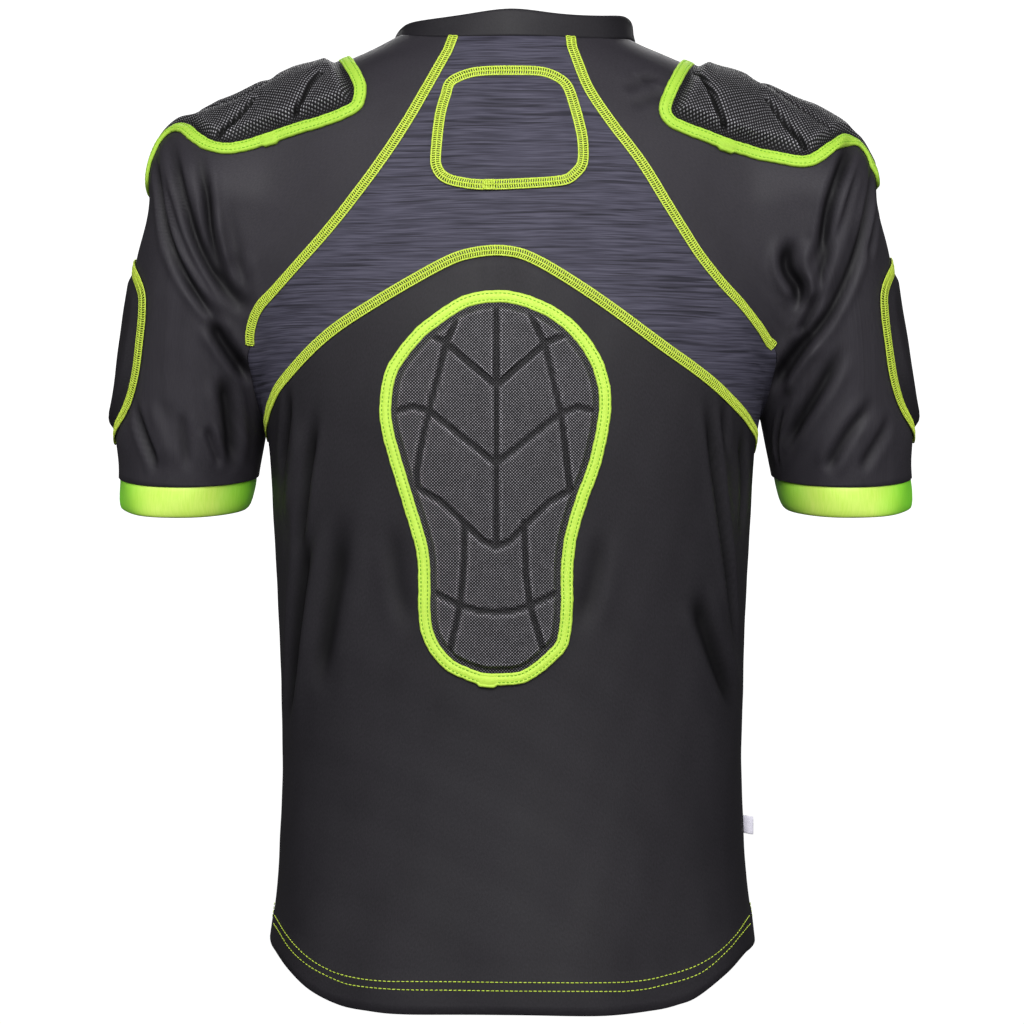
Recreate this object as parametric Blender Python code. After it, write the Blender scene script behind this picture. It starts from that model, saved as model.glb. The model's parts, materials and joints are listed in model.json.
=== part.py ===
"""Padded rugby top (rugby shoulder pads), built as the pieces a maker would cut and sew.

Frame: metres, +Z up. The back faces -Y, the front +Y. The origin is the middle of the
neck opening at shoulder height, where the wearer holds the top up.

One smooth form (body rings joined to two sleeve tubes) carries every piece. Seams are
drawn on the back view and laid on the form; each panel is a grid between its seams.
"""
import math

import bpy
import numpy as np

# ---------------------------------------------------------------- named sizes (metres)
PX = 0.00072            # one step of the back-view drawing, on the plane Y = 0
MID_U = 512.0           # drawing column of X = 0
NECK_V = 40.0           # drawing row of Z = 0
EYE_V = 512.0           # drawing row level with the viewer
VIEW = 2.6              # distance the back view is drawn from
WALL = 0.0013           # cloth
GAP = 0.0003            # between pieces at seams
LAY = 0.0008            # what lies on a panel starts this far out from the form
BIND_W = 0.0090         # binding width
BIND_H = 0.0032         # binding height
CUFF_H = 0.0225         # cuff band height
BACK_PAD_H = 0.0090     # moulded back pad, at its middle
SHOULDER_PAD_H = 0.0105
YOKE_PAD_H = 0.0032
SLEEVE_PAD_H = 0.0068
PAD_EDGE_H = 0.0026     # pad height where it meets its binding or seam

# body rings, mm: height, half width, back depth, front depth, power of the outline
BODY = (
    (45, 64, 50, 46, 1.95),
    (0, 85, 60, 58, 1.9),
    (-15, 118, 66, 65, 1.85),
    (-30, 153, 72, 71, 1.85),
    (-45, 186, 78, 77, 1.85),
    (-57, 205, 82, 81, 1.88),
    (-70, 211, 87, 86, 1.92),
    (-85, 206, 92, 91, 2.0),
    (-105, 196, 98, 97, 2.1),
    (-130, 190, 104, 103, 2.2),
    (-165, 189, 110, 109, 2.3),
    (-205, 189, 114.5, 113.5, 2.35),
    (-243, 184, 116.5, 116, 2.35),
    (-281, 176.5, 117, 117, 2.35),
    (-353, 171, 113, 114, 2.35),
    (-403, 168, 109, 111, 2.35),
    (-461, 166, 106.5, 108, 2.35),
    (-519, 165, 106.5, 108, 2.35),
    (-569, 166.5, 109, 110, 2.35),
    (-605, 169, 112, 112, 2.35),
    (-644, 174, 116, 115, 2.35),
    (-720, 182, 121, 119, 2.35),
)
# sleeve tube, mm: shoulder end and cuff seam end of its axis (left is the mirror)
ARM_TOP = (0.211, 0.000, -0.112)
ARM_END = {-1: (0.2355, 0.030, -0.3135), 1: (0.2400, 0.030, -0.3135)}
ARM_CAP = 0.050         # rounding over the shoulder
# share of the way down, half width, half depth
ARM = (
    (-0.4, 53, 62),
    (0.0, 53, 62),
    (0.18, 54.3, 62),
    (0.45, 54.6, 61),
    (0.70, 53.4, 60),
    (0.85, 52.2, 59),
    (1.0, 50.6, 58),
    (1.3, 48.5, 57),
)
# soft join of sleeve and body, mm: height, blend
JOIN = ((-340, 3), (-290, 4), (-268, 8), (-235, 22), (-185, 42), (-130, 50), (-90, 44), (-60, 28), (40, 20))

# neck seam: degrees round from the middle of the back, height in mm
NECK = ((-210, -56), (-180, -72), (-150, -56), (-120, -20), (-90, 0.5), (-60, -2), (-30, -5), (0, -5), (30, -5), (60, -4),
        (90, -2), (120, -20), (150, -56), (180, -72), (210, -56))
# neck band: degrees round, height in mm (it sits lower on the left)
COLLAR = ((-180, 15), (-150, 12.5), (-120, 9), (-90, 6), (-60, 10.5), (-30, 15.5), (0, 18.7), (30, 16), (60, 15.5), (90, 15.5), (120, 14.5), (180, 15))
NECK_SEAM_BACK = 28.0   # degrees, where the raglan seams meet the neck
NECK_SEAM_FRONT = 138.0

# seams on the back view: drawing column, drawing row
RAGLAN_LEFT = ((456, 37), (430, 82), (405, 125), (373, 172), (340, 215), (308, 253), (278, 287), (258, 310), (251, 331), (251, 346))
RAGLAN_RIGHT = ((568, 37), (578, 63), (590, 91), (613, 125), (642, 163), (668, 205), (695, 248), (717, 277), (741, 304), (758, 326), (768, 342))
ARCH = ((267, 419), (271, 404), (284, 380), (326, 336), (379, 300), (441, 264.5), (473, 253), (507, 251), (538, 261),
        (594, 295.5), (659, 343), (708, 379), (741, 411), (753, 428))
HEM = ((272, 948), (289, 969.5), (311, 990), (338, 1004), (366, 1010), (408, 1014), (512, 1014.5), (600, 1015.5),
       (655, 1010), (680, 1004), (698, 996), (726, 972), (746, 951))
ARCH_END_Z = {-1: -0.286, 1: -0.294}
HEM_SIDE_Z = -0.6455
UNDERARM = (0.1785, 0.010)      # across and forward of the underarm point
# front raglan seam, mm: across, height
RAGLAN_FRONT = ((90, -88), (124, -132), (152, -176), (171, -212), (178, -236))

# pad outlines on the back view (middle of the binding or seam): column, row
BACK_PAD = ((496, 297), (466, 302), (437, 320), (416, 338), (393.5, 369), (386.8, 399), (387.4, 423), (394, 452),
            (408, 499), (422, 546), (425, 576), (425.6, 618), (432.5, 643), (450, 664.5), (476, 676.5), (494, 679),
            (526, 675), (558, 648.5), (564.8, 627), (566.6, 600), (566.6, 569), (570.8, 535), (581.8, 498),
            (593.4, 466), (601.3, 432), (604.4, 407), (602.7, 384), (593.8, 358), (575.8, 332.5), (551.7, 313), (521.5, 300.3))
YOKE_PAD = ((452, 82), (476, 72.7), (514, 71.3), (542, 72.8), (560, 80), (569.5, 92), (580.3, 129), (583, 149),
            (581.8, 164.5), (575, 173.3), (559, 181.3), (489, 185.2), (459, 182.3), (444, 177), (438.4, 170),
            (435.8, 162), (437.3, 140), (440.6, 115), (446.5, 94))
BACK_PAD_MID = ((496.7, 385), (496.7, 628))
YOKE_PAD_MID = ((478, 128), (541, 128))
# shoulder pad outline: mm along the shoulder from the neck seam, mm off the shoulder line (back is negative)
SHOULDER_PAD_BACK = {
    -1: ((39, -35), (38, -66), (45, -81), (56, -83), (74, -80), (98, -72), (120, -65), (140, -62), (152, -55), (160, -42),
         (166, -22), (174, -11), (187, -8), (201, -8), (212, -5)),
    1: ((38, -40), (37, -80), (43, -91), (56, -92), (84, -86), (120, -74), (138, -72), (150, -66), (160, -48),
        (168, -26), (177, -17), (185, -15), (195, -14), (204, -9)),
}
SHOULDER_PAD_TIP = {
    -1: ((218, 8), (219, 24), (213, 38), (199, 44), (183, 46)),
    1: ((206, 7), (207, 22), (202, 36), (192, 43), (181, 46)),
}
SHOULDER_PAD_FRONT = ((168, 54), (152, 64), (134, 72), (110, 76), (80, 78), (58, 76), (46, 66), (42, 40), (41, 0))
SHOULDER_PAD_FADE = ((135, 185), (1.0, 0.22))     # mm along, share of the full height: it thins over the outer shoulder
SHOULDER_PAD_MID = {-1: ((66, -4), (197, 14)), 1: ((66, -4), (190, 13))}
# sleeve pad outline: share of the way down the sleeve, degrees round from the outer edge (back is negative)
SLEEVE_PAD_SIZE = (0.265, 0.875, 36.0, 38.0)    # top, foot, reach to the back, reach to the front
LABEL_SIZE = (0.0068, 0.0125, 0.0008)           # stands out, height, thickness
LABEL_Z = -0.5635

# largest folds, each a soft trough (depth below 0) or ridge: width mm, depth mm, line on the back view (column, row)
FOLDS_BACK = (
    (6.0, -3.0, (163, 196), (175, 254), (194, 294), (215, 329)),
    (5.5, -2.4, (190, 192), (203, 234), (215, 274), (230, 306)),
    (7.0, 2.2, (220, 240), (228, 274), (236, 298), (246, 322)),
    (6.5, -2.2, (134, 440), (145, 452), (155, 471)),
    (8.0, -2.6, (216, 380), (222, 425), (229, 471)),
    (6.0, -3.4, (841, 178), (833, 200), (828, 232), (819, 274)),
    (5.5, -2.6, (872, 210), (864, 234), (858, 258), (833, 313)),
    (7.0, -3.2, (791, 238), (784, 260), (793, 281), (800, 306)),
    (7.0, 2.4, (823, 270), (814, 301), (797, 329)),
    (9.0, -2.8, (842, 330), (816, 385), (782, 452)),
    (8.0, -2.2, (868, 402), (842, 438), (816, 472)),
    (9.0, -2.4, (292, 396), (287, 440), (283, 510)),
    (10.0, -2.0, (307, 512), (296, 620), (286, 737)),
    (9.0, -2.2, (706, 405), (713, 455), (721, 509)),
    (10.0, -2.2, (696, 594), (714, 650), (736, 714)),
)
# the same on the hidden front: width mm, depth mm, line as across mm, height mm
FOLDS_FRONT = (
    (7.0, -2.8, (-236, -150), (-222, -188), (-204, -220)),
    (8.0, -2.4, (-262, -205), (-240, -252), (-222, -300)),
    (7.0, -2.6, (228, -146), (216, -184), (200, -214)),
    (8.0, -2.4, (258, -200), (244, -250), (218, -296)),
    (10.0, -2.4, (-160, -268), (-136, -300), (-120, -352)),
    (11.0, -2.0, (-150, -380), (-142, -450), (-152, -530)),
    (10.0, -2.4, (158, -266), (138, -306), (126, -346)),
    (11.0, -2.2, (146, -400), (150, -470), (140, -548)),
)

# grid counts
N_RAGLAN, N_SIDE_BIT, N_SIDE, N_ARCH, N_NECK_ARM, N_SLEEVE = 14, 2, 8, 18, 10, 16

SLEEVE_BACK, SLEEVE_OPEN = 138.0, 0.62   # degrees of cuff under each raglan seam, and how fast the columns open

COLOURS = {"black": (0.022, 0.021, 0.024), "slate": (0.09, 0.087, 0.13), "lime": (0.42, 0.85, 0.05),
           "mesh": (0.05, 0.05, 0.055), "white": (0.8, 0.78, 0.85)}


# ---------------------------------------------------------------- the form
def spline(xs, ys):
    """Natural cubic through a short table, kept as a fine lookup."""
    xs, ys = np.array(xs, float), np.array(ys, float)
    order = np.argsort(xs)
    xs, ys = xs[order], ys[order]
    n = len(xs)
    h = np.diff(xs)
    a = np.eye(n)
    r = np.zeros(n)
    for i in range(1, n - 1):
        a[i, i - 1], a[i, i], a[i, i + 1] = h[i - 1], 2 * (h[i - 1] + h[i]), h[i]
        r[i] = 6 * ((ys[i + 1] - ys[i]) / h[i] - (ys[i] - ys[i - 1]) / h[i - 1])
    m = np.linalg.solve(a, r)
    fine = np.linspace(xs[0], xs[-1], 3000)
    k = np.clip(np.searchsorted(xs, fine) - 1, 0, n - 2)
    t = fine - xs[k]
    b = (ys[k + 1] - ys[k]) / h[k] - h[k] * (2 * m[k] + m[k + 1]) / 6
    val = ys[k] + b * t + m[k] * t * t / 2 + (m[k + 1] - m[k]) * t ** 3 / (6 * h[k])
    return lambda q: np.interp(q, fine, val)


def table(rows, column, scale=(0.001, 0.001)):
    return spline([r[0] * scale[0] for r in rows], [r[column] * scale[1] for r in rows])


BODY_W, BODY_B, BODY_F = (table(BODY, c) for c in (1, 2, 3))
BODY_P = table(BODY, 4, (0.001, 1))
ARM_W, ARM_D = table(ARM, 1, (1, 0.001)), table(ARM, 2, (1, 0.001))
JOIN_K = table(JOIN, 1)
NECK_Z = table(NECK, 1, (1, 0.001))
_top = np.array(ARM_TOP)


class Arm:
    """Axes of one sleeve tube, drawn on the right: down, out from the body, and to the front."""

    def __init__(self, end):
        run = np.array(end) - _top
        self.length = float(np.linalg.norm(run))
        self.down = run / self.length
        out = np.array((1.0, 0, 0)) - self.down * self.down[0]
        self.out = out / np.linalg.norm(out)
        fore = np.cross(self.out, self.down)
        self.fore = fore if fore[1] > 0 else -fore
        self.tip = self.down[0] / -self.down[2]     # keeps the cuff level from side to side


ARMS = {side: Arm(end) for side, end in ARM_END.items()}


def body_and_arm(p):
    """Signed distance, near enough, to the body and to the sleeve tube."""
    x, y, z = np.abs(p[..., 0]), p[..., 1], p[..., 2]
    w = BODY_W(z)
    d = np.where(y < 0, BODY_B(z), BODY_F(z))
    n = BODY_P(z)
    r = np.sqrt(x * x + y * y) + 1e-9
    rho = ((x / w) ** n + (np.abs(y) / d) ** n) ** (1 / n) + 1e-9
    body = r * (1 - 1 / rho)
    q = np.stack((x, y, z), -1) - _top
    left = p[..., 0] < 0
    pick = lambda name: np.where(left, q @ getattr(ARMS[-1], name), q @ getattr(ARMS[1], name))
    along, a, b = pick("down"), pick("out"), pick("fore")
    t = along / np.where(left, ARMS[-1].length, ARMS[1].length)
    cap = np.minimum(along, 0) / ARM_CAP
    rq = np.sqrt(a * a + b * b + np.minimum(along, 0) ** 2) + 1e-9
    rs = np.sqrt((a / ARM_W(t)) ** 2 + (b / ARM_D(t)) ** 2 + cap * cap) + 1e-9
    return body, rq * (1 - 1 / rs)


def form(p):
    """Signed distance, near enough, to the outside of the cloth."""
    body, arm = body_and_arm(p)
    k = JOIN_K(p[..., 2])
    h = np.maximum(k - np.abs(body - arm), 0) / k
    return np.minimum(body, arm) - h * h * k / 4


_TETRA = np.array(((1, 1, 1), (1, -1, -1), (-1, 1, -1), (-1, -1, 1)), float)


def slope(p, e=0.0006):
    return sum(form(p + e * s)[..., None] * s for s in _TETRA) / (4 * e)


def normal(p):
    g = slope(p)
    return g / np.linalg.norm(g, axis=-1, keepdims=True)


def settle(p, times=5):
    """Move points on to the form."""
    p = np.array(p, float)
    for _ in range(times):
        g = slope(p)
        g2 = np.maximum((g * g).sum(-1, keepdims=True), 0.15)
        step = form(p)[..., None] * g / g2
        size = np.linalg.norm(step, axis=-1, keepdims=True)
        p = p - step * np.minimum(1, 0.02 / np.maximum(size, 1e-9))
    return p


def to_crease(p, share):
    """Move points on the form towards the line where sleeve and body meet under the arm."""
    e = 0.0006
    for _ in range(8):
        gap = lambda q: np.subtract(*body_and_arm(q))
        g = sum(gap(p + e * s)[..., None] * s for s in _TETRA) / (4 * e)
        p = settle(p - (share * gap(p) / np.maximum((g * g).sum(-1), 0.2))[..., None] * g * 0.7, 2)
    return p


def from_view(uv):
    """Lay points of the back-view drawing on the back of the form."""
    uv = np.asarray(uv, float)
    x = (uv[..., 0] - MID_U) * PX
    eye = (NECK_V - EYE_V) * PX
    z = (EYE_V - uv[..., 1]) * PX
    ys = np.linspace(-0.17, 0.06, 116)

    def at(y):
        f = (VIEW + y) / VIEW
        return np.stack((x * f, y + 0 * x, eye + z * f), -1)
    vals = np.stack([form(at(y)) for y in ys], -1)
    inside = vals < 0
    first = np.where(inside.any(-1), inside.argmax(-1), vals.argmin(-1))
    first = np.maximum(first, 1)
    lo, hi = ys[first - 1], ys[first]
    for _ in range(14):
        mid = (lo + hi) / 2
        neg = form(at(mid)) < 0
        hi, lo = np.where(neg, mid, hi), np.where(neg, lo, mid)
    return settle(at((lo + hi) / 2), 3)


def from_front(x, z):
    """Lay points, across and height, on the front of the form."""
    x, z = np.asarray(x, float), np.asarray(z, float)
    lo, hi = np.full(x.shape, 0.17), np.full(x.shape, -0.02)
    ys = np.linspace(0.17, -0.05, 111)
    vals = np.stack([form(np.stack((x, y + 0 * x, z), -1)) for y in ys], -1)
    inside = vals < 0
    first = np.maximum(np.where(inside.any(-1), inside.argmax(-1), vals.argmin(-1)), 1)
    lo, hi = ys[first - 1], ys[first]
    for _ in range(14):
        mid = (lo + hi) / 2
        neg = form(np.stack((x, mid, z), -1)) < 0
        hi, lo = np.where(neg, mid, hi), np.where(neg, lo, mid)
    return settle(np.stack((x, (lo + hi) / 2, z), -1), 3)


def fold_lines():
    """The fold tables laid on the form."""
    lines = [(w, d, from_view(curve(rows, 20))) for w, d, *rows in FOLDS_BACK]
    for w, d, *rows in FOLDS_FRONT:
        xz = curve(rows, 20) * 0.001
        lines.append((w, d, from_front(xz[:, 0], xz[:, 1])))
    return lines


def fold(p):
    """How far the cloth stands out (or in, below 0) at points of the form, from every fold."""
    flat = p.reshape(-1, 3)
    total = np.zeros(len(flat))
    for width, depth, line in FOLD_LINES:
        a, d = line[:-1], np.diff(line, axis=0)
        t = np.clip(((flat[:, None] - a) * d).sum(-1) / (d * d).sum(-1), 0, 1)
        gap = np.linalg.norm(flat[:, None] - a - t[..., None] * d, axis=-1)
        k = gap.argmin(1)
        pick = np.arange(len(flat))
        along = (k + t[pick, k]) / len(d)
        ends = np.clip(np.minimum(along, 1 - along) / 0.3, 0, 1)
        total += 0.001 * depth * ends * np.exp(-(gap[pick, k] * 1000 / width) ** 2)
    return total.reshape(p.shape[:-1])


def ring_point(angle, z):
    """Body ring: degrees round from the middle of the back (right is positive)."""
    a = np.radians(angle)
    s, c = np.sin(a), -np.cos(a)
    w, n = BODY_W(z), BODY_P(z)
    d = np.where(c < 0, BODY_B(z), BODY_F(z))
    r = ((np.abs(s) / w) ** n + (np.abs(c) / d) ** n) ** (-1 / n)
    return settle(np.stack((r * s, r * c, z + 0 * r), -1))


def curve(points, count, closed=False):
    """Smooth line through a short table (any number of columns)."""
    p = np.array(points, float)
    n = len(p)
    if closed:
        idx = lambda i: p[i % n]
        spans = n
    else:
        ext = np.vstack((2 * p[0] - p[1], p, 2 * p[-1] - p[-2]))
        idx = lambda i: ext[np.clip(i + 1, 0, n + 1)]
        spans = n - 1
    t = np.linspace(0, spans, count, endpoint=not closed)
    i = np.minimum(t.astype(int), spans - 1)
    f = (t - i)[:, None]
    a, b, c, d = idx(i - 1), idx(i), idx(i + 1), idx(i + 2)
    return b + 0.5 * f * (c - a + f * (2 * a - 5 * b + 4 * c - d + f * (3 * (b - c) + d - a)))


def even(p, count, closed=False, crowd=1.0):
    """Points at equal steps along a line, or crowded to its far end."""
    p = np.asarray(p, float)
    if closed:
        p = np.vstack((p, p[:1]))
    s = np.concatenate(([0], np.cumsum(np.linalg.norm(np.diff(p, axis=0), axis=1))))
    t = np.linspace(0, 1, count, endpoint=not closed)
    t = s[-1] * (1 - (1 - t) ** crowd)
    return np.stack([np.interp(t, s, p[:, k]) for k in range(p.shape[1])], -1)


FOLD_LINES = fold_lines()


# ---------------------------------------------------------------- seams
def underarm(side):
    x, y = side * UNDERARM[0], UNDERARM[1]
    zs = np.linspace(-0.31, -0.20, 300)
    f = form(np.stack((np.full(300, x), np.full(300, y), zs), -1))
    k = int((f < 0).argmax())
    return to_crease(settle(np.array((x, y, zs[k]))), np.array(1.0))


def under_run(end, pit):
    """From the last place a raglan seam shows, along the crease, to the underarm point."""
    run = np.linspace(end, pit, 40)
    return to_crease(settle(run), np.clip(np.linspace(0, 2.2, 40), 0, 1))[1:]


def neck_line(a0, a1, count):
    ang = np.linspace(a0, a1, count)
    return ring_point(ang, NECK_Z(ang))


def seam_lines():
    s = {}
    for side, rows, key in ((-1, RAGLAN_LEFT, "L"), (1, RAGLAN_RIGHT, "R")):
        pit = underarm(side)
        back = from_view(curve(rows, 160))
        back[0] = neck_line(side * NECK_SEAM_BACK, side * NECK_SEAM_BACK, 1)[0]
        tail = under_run(back[-1], pit)
        s["back" + key] = settle(even(settle(np.vstack((back[4:], tail))), N_RAGLAN + 1, crowd=1.25))
        s["back" + key][0], s["back" + key][-1] = back[0], pit
        rf = np.array(RAGLAN_FRONT, float) * 0.001
        top = neck_line(side * NECK_SEAM_FRONT, side * NECK_SEAM_FRONT, 1)[0]
        line = curve(np.vstack(((abs(top[0]), top[2]), rf)), 120)
        front = from_front(side * line[:, 0], line[:, 1])
        front[0] = top
        tail = under_run(front[-1], pit)
        s["front" + key] = settle(even(settle(np.vstack((front, tail))), N_RAGLAN + 1, crowd=1.25))
        s["front" + key][0], s["front" + key][-1] = top, pit
        end = settle(np.array((side * 0.1762, 0.004, ARCH_END_Z[side])))
        s["bit" + key] = settle(np.linspace(pit, end, N_SIDE_BIT + 1))
        hem = settle(np.array((side * 0.1742, 0.0, HEM_SIDE_Z)))
        z = np.linspace(end[2], hem[2], N_SIDE + 1)
        s["side" + key] = settle(np.stack((np.full(len(z), side * 1.0) * BODY_W(z), np.linspace(end[1], 0, len(z)), z), -1))
        s["side" + key][0] = end
        a0, a1 = side * NECK_SEAM_BACK, side * NECK_SEAM_FRONT
        s["neck" + key] = neck_line(a0, a1, N_NECK_ARM + 1)
        s["neck" + key][0], s["neck" + key][-1] = s["back" + key][0], s["front" + key][0]
    arch = np.vstack((s["sideL"][:1], from_view(curve(ARCH, 240)), s["sideR"][:1]))
    s["arch"] = settle(even(arch, N_ARCH + 1))
    s["arch"][0], s["arch"][-1] = s["sideL"][0], s["sideR"][0]
    hem = np.vstack((s["sideL"][-1:], from_view(curve(HEM, 240)), s["sideR"][-1:]))
    s["hem_back"] = settle(even(hem, N_ARCH + 1))
    hb = s["hem_back"]
    s["hem_front"] = from_front(hb[:, 0], hb[:, 2])
    for key in ("hem_back", "hem_front"):
        s[key][0], s[key][-1] = s["sideL"][-1], s["sideR"][-1]
    s["neck_back"] = neck_line(-NECK_SEAM_BACK, NECK_SEAM_BACK, N_ARCH + 1)
    s["neck_back"][0], s["neck_back"][-1] = s["backL"][0], s["backR"][0]
    s["neck_front"] = ring_point(*front_neck(N_ARCH + 1))
    s["neck_front"][0], s["neck_front"][-1] = s["frontL"][0], s["frontR"][0]
    return s


def front_neck(count):
    ang = np.linspace(-NECK_SEAM_FRONT, -(360 - NECK_SEAM_FRONT), count)
    return ang, NECK_Z(((ang + 180) % 360) - 180)


# ---------------------------------------------------------------- panels
def coons(top, bottom, left, right):
    """Grid between four seams; rows run from top to bottom, columns from left to right."""
    nu, nv = len(top), len(left)
    u = np.linspace(0, 1, nu)[None, :, None]
    v = np.linspace(0, 1, nv)[:, None, None]
    ruled = (1 - v) * top[None] + v * bottom[None] + (1 - u) * left[:, None] + u * right[:, None]
    corner = (1 - u) * (1 - v) * top[0] + u * (1 - v) * top[-1] + (1 - u) * v * bottom[0] + u * v * bottom[-1]
    return ruled - corner


def relax(grid, wrap=False, times=220):
    """Even the grid out while it stays on the form; its edges stay put. The rule is the one that keeps
    cells from folding over a hollow edge."""
    g = grid.copy()
    for k in range(times + 1):
        e = np.concatenate((g[:, -1:], g, g[:, :1]), 1) if wrap else g
        c = e[1:-1, 1:-1]
        n, s, w, o = e[:-2, 1:-1], e[2:, 1:-1], e[1:-1, :-2], e[1:-1, 2:]
        across, down = (o - w) / 2, (s - n) / 2
        al, ga = (down * down).sum(-1, keepdims=True), (across * across).sum(-1, keepdims=True)
        be = (across * down).sum(-1, keepdims=True)
        cross = (e[2:, 2:] - e[2:, :-2] - e[:-2, 2:] + e[:-2, :-2]) / 4
        mean = (al * (o + w) + ga * (n + s) - 2 * be * cross) / (2 * (al + ga))
        new = settle(c if k == 0 else 0.4 * c + 0.6 * mean, 8 if k == 0 else 1)
        if wrap:
            g[1:-1] = new
        else:
            g[1:-1, 1:-1] = new
    g[1:-1] = settle(g[1:-1], 3) if wrap else g[1:-1]
    if not wrap:
        g[1:-1, 1:-1] = settle(g[1:-1, 1:-1], 3)
    return g


def spread(g, steps=None):
    """Space each column out again along its length; steps are relative row heights."""
    nv = len(g)
    w = np.ones(nv - 1) if steps is None else np.asarray(steps, float)
    at = np.concatenate(([0], np.cumsum(w))) / w.sum()
    out = g.copy()
    for _ in range(2):
        for j in range(g.shape[1]):
            line = curve(out[:, j], 40 * nv)
            s = np.concatenate(([0], np.cumsum(np.linalg.norm(np.diff(line, axis=0), axis=1))))
            out[1:-1, j] = np.stack([np.interp(at[1:-1] * s[-1], s, line[:, k]) for k in range(3)], -1)
        out[1:-1] = settle(out[1:-1], 4)
    out[0], out[-1] = g[0], g[-1]
    return out


def arm_point(side, share, degrees, level=False):
    """On the sleeve tube: share of the way down, degrees round from the outer edge (back is negative).
    level keeps a ring level across the body."""
    a = np.radians(np.asarray(degrees, float))
    share = np.asarray(share, float)
    w, d = ARM_W(share), ARM_D(share)
    arm = ARMS[side]
    out, fore = w * np.cos(a), d * np.sin(a)
    along = share * arm.length + (arm.tip * out if level else 0)
    p = _top + along[..., None] * arm.down + out[..., None] * arm.out + fore[..., None] * arm.fore
    return p * np.array((side, 1, 1))


def sleeve_angles():
    """Where each column of a sleeve ends round the cuff: inner edge, back, outer edge, front."""
    low = np.arange(N_RAGLAN + 1) / N_RAGLAN
    back = -180 + SLEEVE_BACK * low ** SLEEVE_OPEN
    over = np.linspace(back[-1], -back[-1], N_NECK_ARM + 1)
    return np.concatenate((back, over[1:], -back[::-1][1:-1]))


def sleeve_grid(s, side):
    key = "L" if side < 0 else "R"
    loop = np.vstack((s["back" + key][::-1], s["neck" + key][1:], s["front" + key][1:-1]))
    n = len(loop)
    ang = sleeve_angles()
    lean = np.cos(np.radians(ang))
    guide = settle(arm_point(side, 0.60 - 0.30 * lean, ang), 4)
    cuff = settle(arm_point(side, np.ones(n), ang, True), 4)
    rows = []
    for v in np.linspace(0, 1, N_SLEEVE + 1):
        rows.append(loop + (guide - loop) * v * 2 if v < 0.5 else guide + (cuff - guide) * (v * 2 - 1))
    g = np.array(rows)
    g[0], g[-1] = loop, cuff
    return spread(relax(g, True, 300), np.interp(np.arange(N_SLEEVE), (0, N_SLEEVE * 0.6, N_SLEEVE), (1, 1, 2.3)))


# ---------------------------------------------------------------- solids
def make(name, verts, faces, colour):
    verts = np.asarray(verts, float)
    mesh = bpy.data.meshes.new(name)
    mesh.from_pydata([tuple(v) for v in verts], [], faces)
    vol = 0.0
    for f in faces:
        for k in range(1, len(f) - 1):
            vol += float(np.dot(verts[f[0]], np.cross(verts[f[k]], verts[f[k + 1]])))
    if vol < 0:
        mesh.flip_normals()
    mesh.validate()
    obj = bpy.data.objects.new(name, mesh)
    bpy.context.scene.collection.objects.link(obj)
    mat = bpy.data.materials.new(name)
    mat.use_nodes = True
    mat.node_tree.nodes["Principled BSDF"].inputs["Base Color"].default_value = (*COLOURS[colour], 1.0)
    mat.node_tree.nodes["Principled BSDF"].inputs["Roughness"].default_value = 0.6
    mesh.materials.append(mat)
    return obj


def pull_in(g, n, wrap):
    """Half the seam gap, taken off each edge along the cloth, square to the seam."""
    out = g.copy()

    def shift(edge, up, inside, closed):
        if closed:
            run = np.roll(edge, -1, 0) - np.roll(edge, 1, 0)
        else:
            run = np.gradient(edge, axis=0)
        d = np.cross(up, run)
        d /= np.linalg.norm(d, axis=-1, keepdims=True)
        return d * np.where(((inside - edge) * d).sum(-1, keepdims=True) < 0, -1, 1) * GAP / 2
    out[0] += shift(g[0], n[0], g[1], wrap)
    out[-1] += shift(g[-1], n[-1], g[-2], wrap)
    if not wrap:
        out[:, 0] += shift(g[:, 0], n[:, 0], g[:, 1], False)
        out[:, -1] += shift(g[:, -1], n[:, -1], g[:, -2], False)
    return out


def split(q, at, low):
    """Two triangles from a quad, on the diagonal that lies further in (low) or further out."""
    a, b, c, d = (at[i] for i in q)
    first = float(form((a + c) / 2)) < float(form((b + d) / 2))
    if first == low:
        return [(q[0], q[1], q[2]), (q[0], q[2], q[3])]
    return [(q[0], q[1], q[3]), (q[1], q[2], q[3])]


def shell(name, outer, inner, wrap, colour):
    """Closed wall from two grids with the same counts."""
    nv, nu = outer.shape[:2]
    verts = np.vstack((outer.reshape(-1, 3), inner.reshape(-1, 3)))
    off = nv * nu
    at = lambda i, j: i * nu + (j % nu)
    faces = []
    span = nu if wrap else nu - 1
    for i in range(nv - 1):
        for j in range(span):
            for f in split((at(i, j), at(i, j + 1), at(i + 1, j + 1), at(i + 1, j)), verts, True):
                faces.append(f)
                faces.append(tuple(off + q for q in reversed(f)))
    for j in range(span):
        faces.append((at(0, j + 1), at(0, j), off + at(0, j), off + at(0, j + 1)))
        faces.append((at(nv - 1, j), at(nv - 1, j + 1), off + at(nv - 1, j + 1), off + at(nv - 1, j)))
    if not wrap:
        for i in range(nv - 1):
            faces.append((at(i, 0), at(i + 1, 0), off + at(i + 1, 0), off + at(i, 0)))
            faces.append((at(i + 1, nu - 1), at(i, nu - 1), off + at(i, nu - 1), off + at(i + 1, nu - 1)))
    return make(name, verts, faces, colour)


def panel(name, grid, wrap, colour):
    n = normal(grid)
    g = pull_in(grid, n, wrap) + n * fold(grid)[..., None]
    return shell(name, g, g - n * WALL, wrap, colour)


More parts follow.
